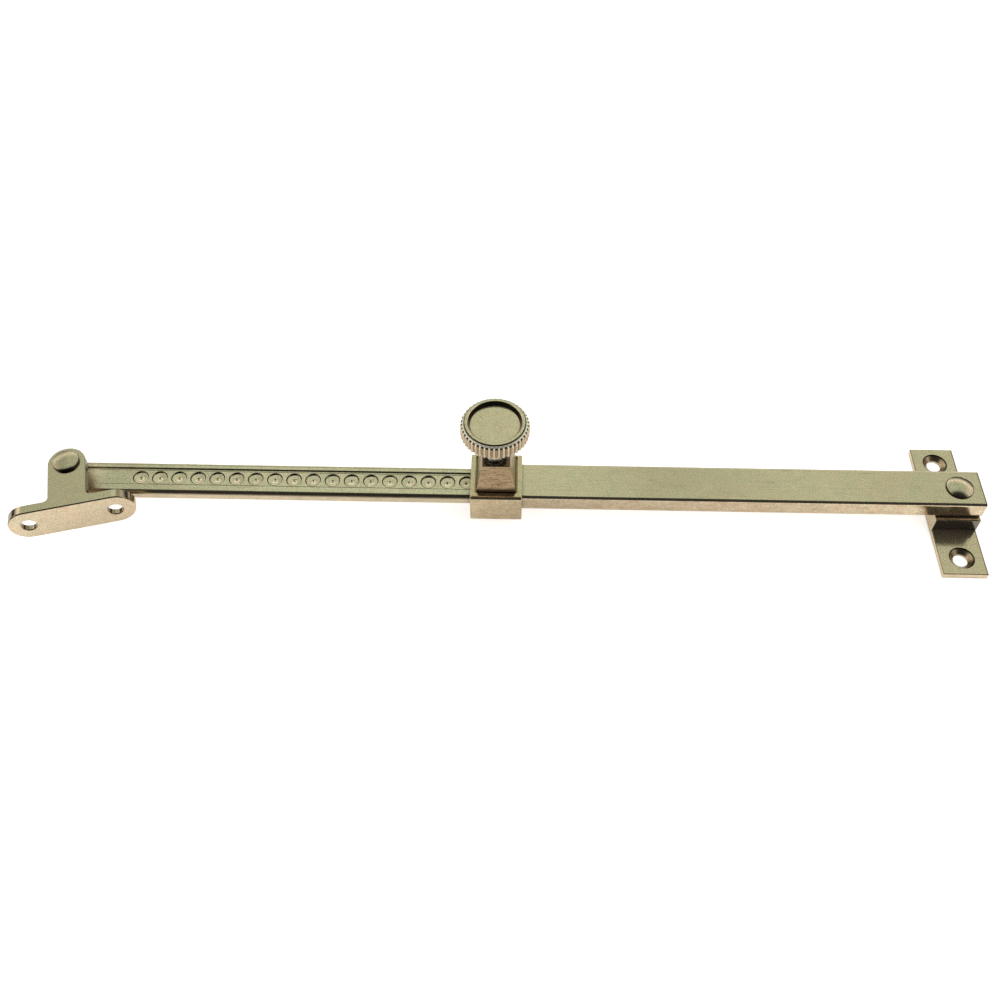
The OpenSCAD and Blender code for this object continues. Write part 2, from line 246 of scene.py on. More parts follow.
def mark_sharp(ob, degrees):
    """Smooth shading everywhere except across edges that turn by more than this."""
    bm = bmesh.new()
    bm.from_mesh(ob.data)
    limit = math.radians(degrees)
    for face in bm.faces:
        face.smooth = True
    for edge in bm.edges:
        edge.smooth = not (len(edge.link_faces) == 2 and edge.calc_face_angle(0.0) > limit)
    bm.to_mesh(ob.data)
    bm.free()


def add_bevel(ob, width, segments, limit):
    bevel = ob.modifiers.new("bevel", "BEVEL")
    bevel.width = width * MM
    bevel.segments = segments
    bevel.profile = 0.5
    bevel.limit_method = limit
    bevel.use_clamp_overlap = False
    bevel.miter_outer = "MITER_SHARP"
    return bevel


def weight_normals(ob):
    modifier = ob.modifiers.new("normals", "WEIGHTED_NORMAL")
    modifier.mode = "FACE_AREA_WITH_ANGLE"
    modifier.weight = 60
    modifier.keep_sharp = True


def apply_modifiers(ob):
    graph = bpy.context.evaluated_depsgraph_get()
    graph.update()
    mesh = bpy.data.meshes.new_from_object(ob.evaluated_get(graph))
    ob.modifiers.clear()
    ob.data = mesh


def boolean(base, tools):
    """Applies (object, operation) pairs to base, then removes the tool objects."""
    for tool, operation in tools:
        modifier = base.modifiers.new("b", "BOOLEAN")
        modifier.object = tool
        modifier.operation = operation
        modifier.solver = "EXACT"
    apply_modifiers(base)
    for tool, _ in tools:
        bpy.data.objects.remove(tool)
    clean(base.data, merge=1e-6, collapse=5e-7)


def register(ob, body, node):
    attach(ob, body)
    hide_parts(node)
    return ob


def refine(node, body, rule, name, segments):
    """A copy of a CAD node with rounded edges.

    rule(middle, direction, convex) gives each sharp edge's rounding in mm, or 0.
    """
    bm = bmesh.new()
    bm.from_mesh(NODES[node].data)
    bmesh.ops.remove_doubles(bm, verts=bm.verts, dist=3e-6)
    bmesh.ops.dissolve_limit(bm, angle_limit=math.radians(0.25), use_dissolve_boundaries=False,
                             verts=bm.verts, edges=bm.edges)
    layer = bm.edges.layers.float.new("bevel_weight_edge")
    widths = []
    for edge in bm.edges:
        width = 0.0
        if len(edge.link_faces) == 2 and edge.calc_face_angle(0.0) > math.radians(24):
            start, end = (v.co for v in edge.verts)
            width = rule((start + end) * 500, (end - start).normalized(), edge.is_convex)
        widths.append(width)
    widest = max(widths)
    for edge, width in zip(bm.edges, widths):
        edge[layer] = width / widest
    mesh = bpy.data.meshes.new(name)
    bm.to_mesh(mesh)
    bm.free()
    ob = place_object(name, mesh)
    add_bevel(ob, widest, segments, "WEIGHT")
    apply_modifiers(ob)
    clean(ob.data, merge=5e-7, collapse=2e-7, outward=False)
    mark_sharp(ob, 40)
    weight_normals(ob)
    return register(ob, body, node)


def soften(node, width):
    """Bevels a CAD node that is carried over as it is."""
    ob = NODES[node]
    mesh = ob.data
    if "custom_normal" in mesh.attributes:
        mesh.attributes.remove(mesh.attributes["custom_normal"])
    mesh.polygons.foreach_set("use_smooth", [True] * len(mesh.polygons))
    if "sharp_edge" in mesh.attributes:
        mesh.attributes.remove(mesh.attributes["sharp_edge"])
    weld = ob.modifiers.new("weld", "WELD")
    weld.merge_threshold = 2e-6
    planar = ob.modifiers.new("planar", "DECIMATE")
    planar.decimate_type = "DISSOLVE"
    planar.angle_limit = math.radians(0.6)
    add_bevel(ob, width, 2, "ANGLE").angle_limit = math.radians(28)
    weight_normals(ob)


# ---------------------------------------------------------------- dimpled bar
# groove beside the band: (distance from the band, depth)
GROOVE = [(0.03, 0), (0.06, 0.02), (0.12, 0.12), (0.18, 0.02), (0.21, 0), (0.24, 0)]
# inner foot of the rear lip: (y, height above the panel)
LIP_FOOT = [(3.36, 0), (3.40, 0), (3.46, 0.012), (3.492, 0.05), (3.50, 0.10), (3.50, 0.14),
            (3.50, 0.30), (3.505, 0.36), (3.53, 0.415)]
# top of the rear lip, with a fine line along it: (y, depth below the top)
LIP_TOP = [(3.58, 0.008), (3.64, 0), (3.67, 0), (4.49, 0), (4.52, 0), (4.55, 0.012),
           (4.60, 0.04), (4.65, 0.012), (4.68, 0), (4.71, 0)]
# dimple from its rim inwards: (radius, height)
DIMPLE = [(2.413, 0.0), (2.398, 0.0), (2.385, 0.006), (2.36, 0.022), (2.335, 0.026),
          (2.31, 0.012), (2.285, -0.018), (2.25, -0.062), (2.19, -0.134), (2.11, -0.230),
          (2.05, -0.302), (2.00, -0.350), (1.95, -0.384), (1.88, -0.410), (1.78, -0.430),
          (1.62, -0.446), (1.42, -0.460), (1.22, -0.473), (1.08, -0.483), (1.00, -0.494),
          (0.84, -0.526), (0.66, -0.562), (0.48, -0.598), (0.36, -0.660), (0.18, -0.800)]
DIMPLE_BOTTOM = -0.885
CELL_HALF = 6                               # segments along half a cell's side
# the square cell's divisions line up with even angles round the dimple
CELL_STEPS = [math.tan(math.radians(45 * k / CELL_HALF)) for k in range(-CELL_HALF, CELL_HALF + 1)]


def bar_outline(fade):
    """Section (y, z) from the band's rear edge round under the bar to its front edge."""
    z0, half = bar_lo[2], bar_hi[1]
    z_top = z0 + BAR_HEIGHT
    top_r, low_r, roll_r = 0.28, 0.25, 1.45
    low = low_r + 0.04
    roll_end = math.radians(105)
    roll_z = PANEL_Z - roll_r * math.sin(roll_end)
    points = [(BAND_Y + BAND_HALF + d, PANEL_Z - depth * fade) for d, depth in GROOVE]
    points += [(y, PANEL_Z + rise) for y, rise in LIP_FOOT]
    points += [(y, z_top - drop) for y, drop in LIP_TOP] + [(half - top_r - 0.05, z_top)]
    points += arc(half - top_r, z_top - top_r, top_r, 90, 0, 6)
    points += [(half, z_top - top_r - 0.04), (half, z0 + low)]
    points += arc(half - low_r, z0 + low_r, low_r, 0, -90, 5)
    points += [(half - low, z0), (-half + low, z0)]
    points += arc(-half + low_r, z0 + low_r, low_r, -90, -180, 5)
    points += [(-half, z0 + low), (-half, roll_z - 0.03)]
    points += arc(-half + roll_r, roll_z, roll_r, 180, 105, 18)
    points += [(-half + roll_r + roll_r * math.cos(roll_end) + 0.03, PANEL_Z),
               (-half + 1.16, PANEL_Z)]
    points += [(BAND_Y - BAND_HALF - d, PANEL_Z - depth * fade) for d, depth in reversed(GROOVE)]
    return points


def bar_stations():
    """(x, fade) of each column, and the first cell's column; fade brings in the grooves."""
    stations = [(SASH_AXIS[0] + along, min(1.0, max(0.0, (along - 6.9) / 1.3)))
                for along in (0, 3.5, 6.2, 6.9, 7.4, 8.2, 11, 14)]
    first = len(stations)
    for i in range(DIMPLE_COUNT):
        for t in CELL_STEPS[1 if i else 0:]:
            x = FIRST_DIMPLE_X + i * DIMPLE_PITCH + DIMPLE_PITCH / 2 * t
            stations.append((x, 1.0))
    stations += [(stations[-1][0] + 1.6, 1.0), (shoe_lo[0], 1.0)]
    return stations, first


def press_dimple(shape, border, i, rnd):
    """One dimple with its own small errors, inside a cell's border. Returns its centre."""
    cx = FIRST_DIMPLE_X + i * DIMPLE_PITCH + rnd.uniform(-0.035, 0.035)
    cy = BAND_Y + rnd.uniform(-0.015, 0.015)
    depth = 1.0 + rnd.uniform(-0.07, 0.07)
    rim = 1.0 + rnd.uniform(-0.25, 0.25)
    shift_x, shift_y = rnd.uniform(-0.05, 0.05), rnd.uniform(-0.05, 0.05)
    angles = [math.radians(-45 + 360 * k / len(border)) for k in range(len(border))]
    rows = [border]
    for r, z in DIMPLE:
        inward = max(0.0, min(1.0, (1.2 - r) / 1.0))
        lobes = 1 if r > 1.3 else 0.3
        polar = [(a, r * (1 + 0.004 * math.sin(3 * a + i) * lobes)) for a in angles]
        rows.append(shape.ring((cx + shift_x * inward, cy + shift_y * inward),
                               PANEL_Z + z * (depth if z < 0 else rim), polar))
    rows.append([shape.add((cx + shift_x, cy + shift_y, PANEL_Z + DIMPLE_BOTTOM * depth))])
    shape.skin(rows)
    return cx, cy


def make_bar():
    """The bar and the centres of its dimples."""
    shape = Shape()
    ys = [BAND_Y + BAND_HALF * t for t in CELL_STEPS]
    cell = 2 * CELL_HALF
    stations, first = bar_stations()
    last = first + cell * DIMPLE_COUNT
    outlines = [shape.row([(x, y, z) for y, z in bar_outline(fade)]) for x, fade in stations]
    edges = [shape.row([(x, ys[0], PANEL_Z), (x, ys[-1], PANEL_Z)]) for x, _ in stations]
    across = {}

    def band(column):
        """Vertices across the band, front to back, made when first needed."""
        if column not in across:
            front, rear = edges[column]
            x = stations[column][0]
            across[column] = [front] + shape.row([(x, y, PANEL_Z) for y in ys[1:-1]]) + [rear]
        return across[column]

    # everything outside the band
    strips = [[edge[1]] + outline + [edge[0]] for edge, outline in zip(edges, outlines)]
    for a, b in zip(strips, strips[1:]):
        for j in range(len(a) - 1):
            shape.faces.append((a[j], a[j + 1], b[j + 1], b[j]))
    # plain band before and after the dimples
    for column in [*range(first), *range(last, len(stations) - 1)]:
        a, b = band(column), band(column + 1)
        for j in range(cell):
            shape.faces.append((a[j], b[j], b[j + 1], a[j + 1]))
    rnd = random.Random(7)
    dimples = []
    for i in range(DIMPLE_COUNT):
        start = first + cell * i
        right, left = band(start + cell), band(start)
        inside = range(start + 1, start + cell)
        # anticlockwise from the (+x, -y) corner
        border = right + [edges[c][1] for c in reversed(inside)]
        border += left[::-1] + [edges[c][0] for c in inside]
        dimples.append(press_dimple(shape, border, i, rnd))
    end = len(stations) - 1
    shape.faces.append(tuple(reversed(band(0) + outlines[0])))
    shape.faces.append(tuple(band(end) + outlines[end]))
    bar = shape.build("slide_bar_detailed")

    z0, half, x_end = bar_lo[2], bar_hi[1], shoe_lo[0]
    eye_r, eye_top, z_lip = 3.7, bar_hi[2], z0 + BAR_HEIGHT
    end_profile = rounded([(0, z0), (half, z0, 0, 0.25), (half, PANEL_Z, 0, 0.35), (0, PANEL_Z)],
                          0.2, 5)
    eye_profile = rounded([(0, z0 + 0.5), (eye_r, z0 + 0.5), (eye_r, eye_top, 0, 0.25),
                           (0, eye_top)], 0.1, 5)
    boolean(bar, [
        (lathe("round_end", end_profile, 120, SASH_AXIS), "UNION"),
        (lathe("eye", eye_profile, 96, SASH_AXIS), "UNION"),
        (cuboid("tongue", (x_end - 1, -3.5, z0 + 0.6), (bar_hi[0], 3.5, z0 + 2.8)), "UNION"),
        (cylinder("bore", SASH_AXIS, z0 - 1, eye_top + 1, 2.52), "DIFFERENCE"),
        (cylinder("pin", (x_end + 3.6, 0), z0 - 1, z_lip + 1, 1.22, 40), "DIFFERENCE")])
    mark_sharp(bar, 40)
    return register(bar, "bar", "slide_bar"), dimples


# ---------------------------------------------------------------- knob
# one tooth: (place in the pitch, share of the tooth height)
TOOTH = [(-0.50, 0.0), (-0.38, 0.0), (-0.275, 0.04), (-0.205, 0.52), (-0.140, 0.93), (-0.07, 1.0),
         (0.0, 1.0), (0.07, 1.0), (0.140, 0.93), (0.205, 0.52), (0.275, 0.04), (0.38, 0.0)]


def make_knob():
    under = KNOB_TOP - 4.8                  # underside of the toothed grip
    floor_z = KNOB_TOP - 1.3                # bottom of the dish
    tip, rim, ledge = KNOB_TIP, KNOB_RIM, KNOB_LEDGE
    dish = rim - 1.18
    bore, neck, crown_r = 2.51, 3.6, 0.40
    crown = arc(rim + 0.01 - crown_r, KNOB_TOP - crown_r, crown_r, 0, 90, 10)
    # (r, z, tooth height, corner radius)
    profile = rounded([
        (0, under - 1.58), (bore, under - 1.58, 0, 0.0), (bore, knob_lo[2], 0, 0.15),
        (neck, knob_lo[2], 0, 0.25), (neck, under - 1.6, 0, 0.5), (5.2, under, 0, 0.5),
        (tip - 0.80, under, 0, 0.03), (tip - 0.52, under + 0.10, 0.28, 0.05),
        (tip - 0.46, under + 0.40, 0.46, 0.10), (tip - 0.46, ledge - 0.76, 0.46, 0.05),
        (tip - 0.46, ledge - 0.62, 0.405, 0.04), (tip - 0.70, ledge - 0.02, 0.39, 0.02),
        (tip - 0.715, ledge, 0.385, 0.02), (tip - 0.735, ledge, 0, 0.02),
        (rim + 0.03, ledge, 0, 0.02), (rim + 0.01, KNOB_TOP - 0.42, 0, 0.0),
        *[(r, z, 0, 0.0) for r, z in crown],
        (dish + 0.12, KNOB_TOP - 0.005, 0, 0.06), (dish - 0.02, KNOB_TOP - 0.10, 0, 0.06),
        (dish - 0.66, floor_z, 0, 0.05), (4.0, floor_z), (1.0, floor_z), (0, floor_z)])
    spokes = [(2 * math.pi * (tooth + offset) / KNOB_TEETH, share)
              for tooth in range(KNOB_TEETH) for offset, share in TOOTH]
    ob = turn_shape("knob_detailed", profile, spokes, SCREW_AXIS)
    return register(ob, "turn", "knob")


# ---------------------------------------------------------------- clamp screw with its thread
def make_screw():
    z0, z1, r = screw_lo[2], screw_hi[2], screw_hi[0] - SCREW_AXIS[0]
    lead, step, depth = 0.8, 0.1, 0.43
    angles = even_angles(48)
    hollow_top, hollow_r = z0 + 3.4, 1.05

    def thread_radius(a, z):
        turn = (z / lead - a / (2 * math.pi)) % 1.0
        to_root = abs(turn - 0.5) * 2       # 0 at the crest, 1 at the root
        crest = 1 - min(1.0, max(0.0, (to_root - 0.12) / 0.72))
        end = min(1.0, (z - z0) / 0.6, (z1 - z) / 0.3)
        return r - 0.02 - depth * (1 - crest) - 0.35 * (1 - end)

    shape = Shape()
    rows = [[shape.add((*SCREW_AXIS, hollow_top))]]
    for radius, z in ((hollow_r, hollow_top), (hollow_r, z0 + 0.15), (1.2, z0), (r - 0.55, z0)):
        rows.append(shape.ring(SCREW_AXIS, z, [(a, radius) for a in angles]))
    count = int(round((z1 - z0) / step))
    for i in range(1, count):
        z = z0 + (z1 - z0) * i / count
        rows.append(shape.ring(SCREW_AXIS, z, [(a, thread_radius(a, z)) for a in angles]))
    rows.append(shape.ring(SCREW_AXIS, z1, [(a, r - 0.6) for a in angles]))
    rows.append([shape.add((*SCREW_AXIS, z1))])
    shape.skin(rows)
    return register(shape.build("clamp_screw_threaded"), "turn", "clamp_screw")


# ---------------------------------------------------------------- pivot rivets
def dome(r, z, wall, top):
    """Head profile from its underside out, up the wall and over the dome to the axis at top."""
    height = top - z - wall
    sphere = (r * r + height * height) / (2 * height)
    centre = z + wall + height - sphere
    start = math.asin(r / sphere) * (1 - 0.09)
    wall_top = z + wall - 0.14
    points = [(r - 0.08, z), (r - 0.05, z), (r - 0.015, z + 0.015), (r, z + 0.05), (r, z + 0.08),
              (r, wall_top)]
    # the upper edge is eased into the dome
    dome_r, dome_z = sphere * math.sin(start), centre + sphere * math.cos(start)
    for k in range(1, 7):
        t = k / 7
        w0, w1, w2 = (1 - t) ** 2, 2 * t * (1 - t), t * t
        points.append((w0 * r + w1 * r + w2 * dome_r,
                       w0 * wall_top + w1 * (z + wall) + w2 * dome_z))
    steps = 20
    for i in range(steps + 1):
        a = start * (1 - i / steps)
        points.append((sphere * math.sin(a), centre + sphere * math.cos(a)))
    return points


def make_frame_rivet():
    low, shank = frame_rivet_lo[2], RIVET_SHANK
    z_head = tube_hi[2] + 0.03
    head = frame_rivet_hi[0] - FRAME_AXIS[0]
    profile = rounded([(0, low), (shank + 1.45, low, 0, 0.1), (shank, low + 1.45),
                       (shank, z_head), (head - 0.12, z_head)], 0.05, 3)
    profile += dome(head, z_head, 0.55, frame_rivet_hi[2])
    ob = lathe("frame_pivot_rivet_detailed", profile, 96, FRAME_AXIS)
    return register(ob, "base", "frame_pivot_rivet")


def make_sash_rivet():
    low, shank = sash_rivet_lo[2], RIVET_SHANK
    z_head = bracket_hi[2] + 0.03
    head = sash_rivet_hi[0] - SASH_AXIS[0]
    tail_r, tail_h = 3.3, 0.85              # rounded lower end
    profile = []
    for k in range(11):
        a = math.radians(90 * k / 10)
        profile.append((tail_r * math.sin(a), low + tail_h * (1 - math.cos(a))))
    profile += [(3.29, low + 0.88), (3.25, low + 0.9), (shank + 0.03, low + 0.9),
                (shank, low + 0.93), (shank, z_head - 0.03), (shank + 0.03, z_head),
                (head - 0.12, z_head)]
    profile += dome(head, z_head, 0.90, sash_rivet_hi[2])
    ob = lathe("sash_pivot_rivet_detailed", profile, 96, SASH_AXIS)
    return register(ob, "bar", "sash_pivot_rivet")


# ---------------------------------------------------------------- tube and collar
def rounded_rectangle(y0, y1, z0, z1, radii, steps, inset):
    """Closed outline in (y, z). radii: front top, front bottom, back bottom, back top."""
    y0, y1, z0, z1 = y0 + inset, y1 - inset, z0 + inset, z1 - inset
    ft, fb, bb, bt = [max(0.02, r - inset) for r in radii]
    points = []
    for cy, cz, r, first in ((y0 + ft, z1 - ft, ft, 90), (y0 + fb, z0 + fb, fb, 180),
                             (y1 - bb, z0 + bb, bb, 270), (y1 - bt, z1 - bt, bt, 0)):
        corner = arc(cy, cz, r, first, first + 90, steps)
        a = math.radians(first)
        b = math.radians(first + 90)
        y, z = corner[0]
        points.append((y + 0.05 * math.sin(a), z - 0.05 * math.cos(a)))
        points += corner
        y, z = corner[-1]
        points.append((y - 0.05 * math.sin(b), z + 0.05 * math.cos(b)))
    return points


def box_loft(name, lo, hi, radii, end, steps, bore=None):
    """Bar along X with rounded long edges and ends; bore (y0, y1, z0, z1, r) makes it a tube."""
    (x0, y0, z0), (x1, y1, z1) = lo, hi
    sections = []                           # (x, inset)
    for k in range(6):
        a = math.radians(90 * k / 5)
        sections.append((x0 + end * (1 - math.cos(a)), end * (1 - math.sin(a))))
    sections += [(x0 + end + 0.05, 0.0)]
    sections += [(x0 + x1 - x, inset) for x, inset in reversed(sections)]
    shape = Shape()

    def section(x, inset, sides, corner_radii):
        outline = rounded_rectangle(*sides, corner_radii, steps, inset)
        return shape.row([(x, y, z) for y, z in outline])

    rows = [section(x, inset, (y0, y1, z0, z1), radii) for x, inset in sections]
    if bore:
        lip = 0.12
        for x, inset in ((x1, -lip), (x1 - lip, 0.0), (x0 + lip, 0.0), (x0, -lip)):
            rows.append(section(x, inset, bore[:4], [bore[4]] * 4))
        rows.append(rows[0])
    shape.skin(rows)
    if not bore:
        shape.faces += [tuple(rows[0]), tuple(reversed(rows[-1]))]
    return shape.build(name)


def flared(name, lo, hi, axis, end, flare):
    """Box cutter that opens out by flare just inside its end on one axis; end is -1 or 1."""
    u, v = [k for k in range(3) if k != axis]
    edge, far = (hi[axis], lo[axis]) if end > 0 else (lo[axis], hi[axis])
    shape = Shape()
    rows = []
    for level, spread in ((far, 0.0), (edge - end * flare, 0.0), (edge + end * 0.6, flare + 0.6)):
        points = []
        for high_u, high_v in ((0, 0), (1, 0), (1, 1), (0, 1)):
            point = [0, 0, 0]
            point[axis] = level
            point[u] = hi[u] + spread if high_u else lo[u] - spread
            point[v] = hi[v] + spread if high_v else lo[v] - spread
            points.append(tuple(point))
        rows.append(shape.row(points))
    shape.faces = [tuple(rows[0]), tuple(reversed(rows[-1]))]
    for a, b in zip(rows, rows[1:]):
        for k in range(4):
            k2 = (k + 1) % 4
            shape.faces.append((a[k], b[k], b[k2], a[k2]))
    return shape.build(name)


def make_tube():
    wall = 0.7
    _, y0, z0 = tube_lo
    _, y1, z1 = tube_hi
    ob = box_loft("outer_tube_drawn", tube_lo, tube_hi, radii=(0.98, 0.70, 0.70, 0.80), end=0.24,
                  steps=10, bore=(y0 + wall, y1 - wall, z0 + wall, z1 - wall, 0.06))
    boolean(ob, [(cylinder("pivot_bore", FRAME_AXIS, z0 - 1, z1 + 1, 2.55), "DIFFERENCE"),
                 (cylinder("screw_window", SCREW_AXIS, z1 - 1.5, z1 + 1, 3.0), "DIFFERENCE")])
    mark_sharp(ob, 40)
    return register(ob, "arm", "outer_tube")


def make_collar():
    x0, x1, z1 = collar_lo[0], collar_hi[0], collar_hi[2]
    ob = box_loft("clamp_collar_dressed", collar_lo, collar_hi, radii=(0.95, 0.60, 0.40, 0.42),
                  end=0.34, steps=8)
    tube_gap, bar_gap, bar_gap_z, tower_gap = 0.02, 0.1, 0.08, 0.3
    cutters = [
        flared("tube_seat", (tube_lo[0], tube_lo[1] - tube_gap, tube_lo[2] - tube_gap),
               (x1, tube_hi[1] + tube_gap, tube_hi[2] + tube_gap), axis=0, end=1, flare=0.10),
        flared("throat", (x0, bar_lo[1] - bar_gap, bar_lo[2] - bar_gap_z),
               (tube_lo[0] + 1.0, bar_hi[1] + bar_gap, bar_lo[2] + BAR_HEIGHT + bar_gap_z),
               axis=0, end=-1, flare=0.22),
        flared("tower_seat", (tower_lo[0] - tower_gap, tower_lo[1] - tower_gap, z1 - 0.6),
               (tower_hi[0] + tower_gap, tower_hi[1] + tower_gap, z1), axis=2, end=1, flare=0.09),
        cylinder("screw_bore", SCREW_AXIS, tube_hi[2] - 0.5, z1 + 1, 2.55)]
    boolean(ob, [(cutter, "DIFFERENCE") for cutter in cutters])
    mark_sharp(ob, 28)
    return register(ob, "arm", "clamp_collar")


# ---------------------------------------------------------------- edge rounding of refined pieces
def round_plate(middle, direction, convex):
    x, y, z = middle
    for hole_y in PLATE_HOLES:
        from_hole = math.hypot(x, y - hole_y)
        if from_hole < 3.9:
            return 0.05 if from_hole > 3.4 else 0.0
    if math.hypot(x, y) < 4.8 or not convex:
        return 0.0
    if z < 0.3:
        return 0.12
    if abs(direction[2]) > 0.9:
        return 0.14 if z < 2.0 else 0.10
    if z < 3:
        return 0.50 if abs(direction[0]) > 0.9 else 0.36
    return 0.12


def round_tower(middle, direction, convex):
    from_screw = math.hypot(middle[0] - SCREW_AXIS[0], middle[1] - SCREW_AXIS[1])
    return 0.10 if convex and from_screw >= 2.7 else 0.0


def bracket_axes(point):
    """Row frame to the bracket's own axes: x along the foot, y away from its screwed face."""
    x, y = point[0] - SASH_AXIS[0], point[1] - SASH_AXIS[1]
    cosine, sine = math.cos(BRACKET_YAW), math.sin(BRACKET_YAW)
    return x * cosine + y * sine, -x * sine + y * cosine, point[2]


def round_bracket(middle, direction, convex):
    x, y, z = bracket_axes(middle)
    if not convex:
        return 0.0
    foot_z = (bracket_lo[2] + bracket_hi[2]) / 2
    from_hole = min(math.hypot(x - hole_x, z - foot_z) for hole_x in BRACKET_HOLES)
    face = -BRACKET_REACH
    if from_hole < 3.9:
        if y < face + 0.3:
            return 0.36
        return 0.06 if from_hole > 3.4 else 0.0
    if math.hypot(x, y) < 2.8:
        return 0.0
    if y < face + 0.05:
        return 0.42
    if z < bracket_hi[2] - 0.1 and face + 2.95 < y < face + 4.3 and abs(x) < 5.5:
        return 0.0
    return 0.26


# ---------------------------------------------------------------- shader graph helpers
class Graph:
    """Adds nodes to an emptied node tree; most methods return an output socket."""

    def __init__(self, owner):
        owner.use_nodes = True
        self.tree = owner.node_tree
        self.tree.nodes.clear()
        self.coords = self.add("ShaderNodeTexCoord").outputs

    def add(self, kind, **props):
        node = self.tree.nodes.new(kind)
        for key, value in props.items():
            setattr(node, key, value)
        return node

    def put(self, socket, value):
        if isinstance(value, bpy.types.NodeSocket):
            self.tree.links.new(value, socket)
        else:
            socket.default_value = value

    def node(self, kind, *inputs, **props):
        """A node with its first inputs filled in order."""
        node = self.add(kind, **props)
        for socket, value in zip(node.inputs, inputs):
            self.put(socket, value)
        return node

    def math(self, operation, a, b):
        return self.node("ShaderNodeMath", a, b, operation=operation).outputs[0]

    def times(self, first, *others):
        for other in others:
            first = self.math("MULTIPLY", first, other)
        return first

    def plus(self, a, b):
        return self.math("ADD", a, b)

    def swing(self, total, noise, amount):
        """total moved up and down by a noise centred on 0.5."""
        return self.plus(total, self.times(self.math("SUBTRACT", noise, 0.5), amount))

    def vmath(self, operation, a, b=(0, 0, 0)):
        node = self.node("ShaderNodeVectorMath", a, b, operation=operation)
        return node.outputs[1 if operation in ("DOT_PRODUCT", "LENGTH") else 0]

    def scaled(self, vector, factors):
        return self.vmath("MULTIPLY", vector, factors)

    def split(self, vector):
        return self.node("ShaderNodeSeparateXYZ", vector).outputs

    def ramp(self, value, start, end, out=(0.0, 1.0)):
        """Smooth step from out[0] at start to out[1] at end."""
        return self.node("ShaderNodeMapRange", value, start, end, *out,
                         interpolation_type="SMOOTHSTEP").outputs[0]

    def mix(self, factor, a, b, blend="MIX"):
        node = self.node("ShaderNodeMix", factor, data_type="RGBA", blend_type=blend)
        for socket, value in ((node.inputs[6], a), (node.inputs[7], b)):
            self.put(socket, value if isinstance(value, bpy.types.NodeSocket) else (*value, 1.0))
        return node.outputs[2]

    def coat(self, under, over, mask, amount):
        return self.mix(self.times(mask, amount), under, over)

    def noise(self, vector, scale, detail, rough, distortion=0.0):
        node = self.add("ShaderNodeTexNoise")
        for key, value in (("Vector", vector), ("Scale", scale), ("Detail", detail),
                           ("Roughness", rough), ("Distortion", distortion)):
            self.put(node.inputs[key], value)
        return node.outputs["Fac"]

    def curve(self, value, low, high, stops):
        """Smooth curve over low..high; stops holds (value, brightness)."""
        node = self.add("ShaderNodeValToRGB")
        node.color_ramp.interpolation = "B_SPLINE"
        elements = node.color_ramp.elements
        for i, (stop, level) in enumerate(stops):
            position = (stop - low) / (high - low)
            element = elements[i] if i < 2 else elements.new(position)
            element.position = position
            element.color = (level, level, level, 1)
        spread = self.node("ShaderNodeMapRange", value, low, high, interpolation_type="LINEAR")
        self.put(node.inputs[0], spread.outputs[0])
        return node.outputs[0]

    def in_mm(self):
        return self.scaled(self.coords["Object"], (1000, 1000, 1000))

    @cached_property
    def row_mm(self):
        return self.in_mm()

    @cached_property
    def place(self):
        """x, y and z in row-frame millimetres."""
        return self.split(self.row_mm)

    @cached_property
    def normal(self):
        return self.add("ShaderNodeNewGeometry").outputs["Normal"]

    @cached_property
    def normal_axes(self):
        return self.split(self.normal)

    def radius_from(self, x, y):
        """Distance from a vertical axis in millimetres."""
        offset = self.vmath("SUBTRACT", self.row_mm, (x, y, 0.0))
        return self.vmath("LENGTH", self.scaled(offset, (1, 1, 0)))


def scale_colour(colour, *factors):
    """Colour times one factor, or times one for each channel."""
    return tuple(v * k for v, k in zip(colour, factors * 3))


def brighten(colour, factor):
    return tuple(min(1.0, v) for v in scale_colour(colour, factor))


# ---------------------------------------------------------------- worn plated metal
NICKEL = (0.700, 0.565, 0.388)
NICKEL_GREEN = (0.640, 0.558, 0.374)
WARM = (0.705, 0.545, 0.372)
DARK = (0.300, 0.225, 0.130)


@dataclass
class Finish:
    seed: float                   # moves the noises
    rough: float
    rough_spread: float = 0.06
    base: tuple = NICKEL
    patch: tuple = NICKEL_GREEN   # colour of the mottled patches
    dark: tuple = DARK            # streaks, grain, tarnish and painted shade
    warm: tuple = WARM            # broad warm areas
    edge: tuple = None            # polished edges; a brighter base if not given
    metallic: float = 1.0
    mottling: float = 1.0         # strength of the clouds, streaks and fine spots
    front_stain: float = 0.0      # brown stains on the faces towards -Y
    streak: tuple = (0.5, 0.5, 0.5)   # squeezes the streak noise on x, y, z
    # heights of the relief, in mm
    streak_bump: float = 0.001
    wave: float = 0.002
    pits: float = 0.0
    # tarnish and painted shade in recesses, under and between parts: strength, reach in metres and
    # added roughness
    cavity_dark: float = 0.75
    cavity_reach: float = 0.0016
    cavity_rough: float = 0.08
    # local marks, each left out if not given
    edge_dark: float = 0.0        # painted dark reflection along the broken edges of top faces
    right_edge: tuple = None      # (x of the +X edge, strength) of a painted dark reflection along that edge
    dark_front: tuple = None      # (y, z) limits of an upright face painted with dark shade and reflection
    sunk_rings: tuple = ()        # (x, y, inner r, outer r) of painted black shade rings
    matt_edge: tuple = None       # (y limit, added roughness) of the rolled front edge, also painted with a darker reflection
    matt_end: tuple = None        # (x limit, added roughness) of the -X end
    lines: tuple = None           # file marks: (axis scales, noise scale, depth)
    rings: tuple = None           # (x, y) of the centre of turning marks


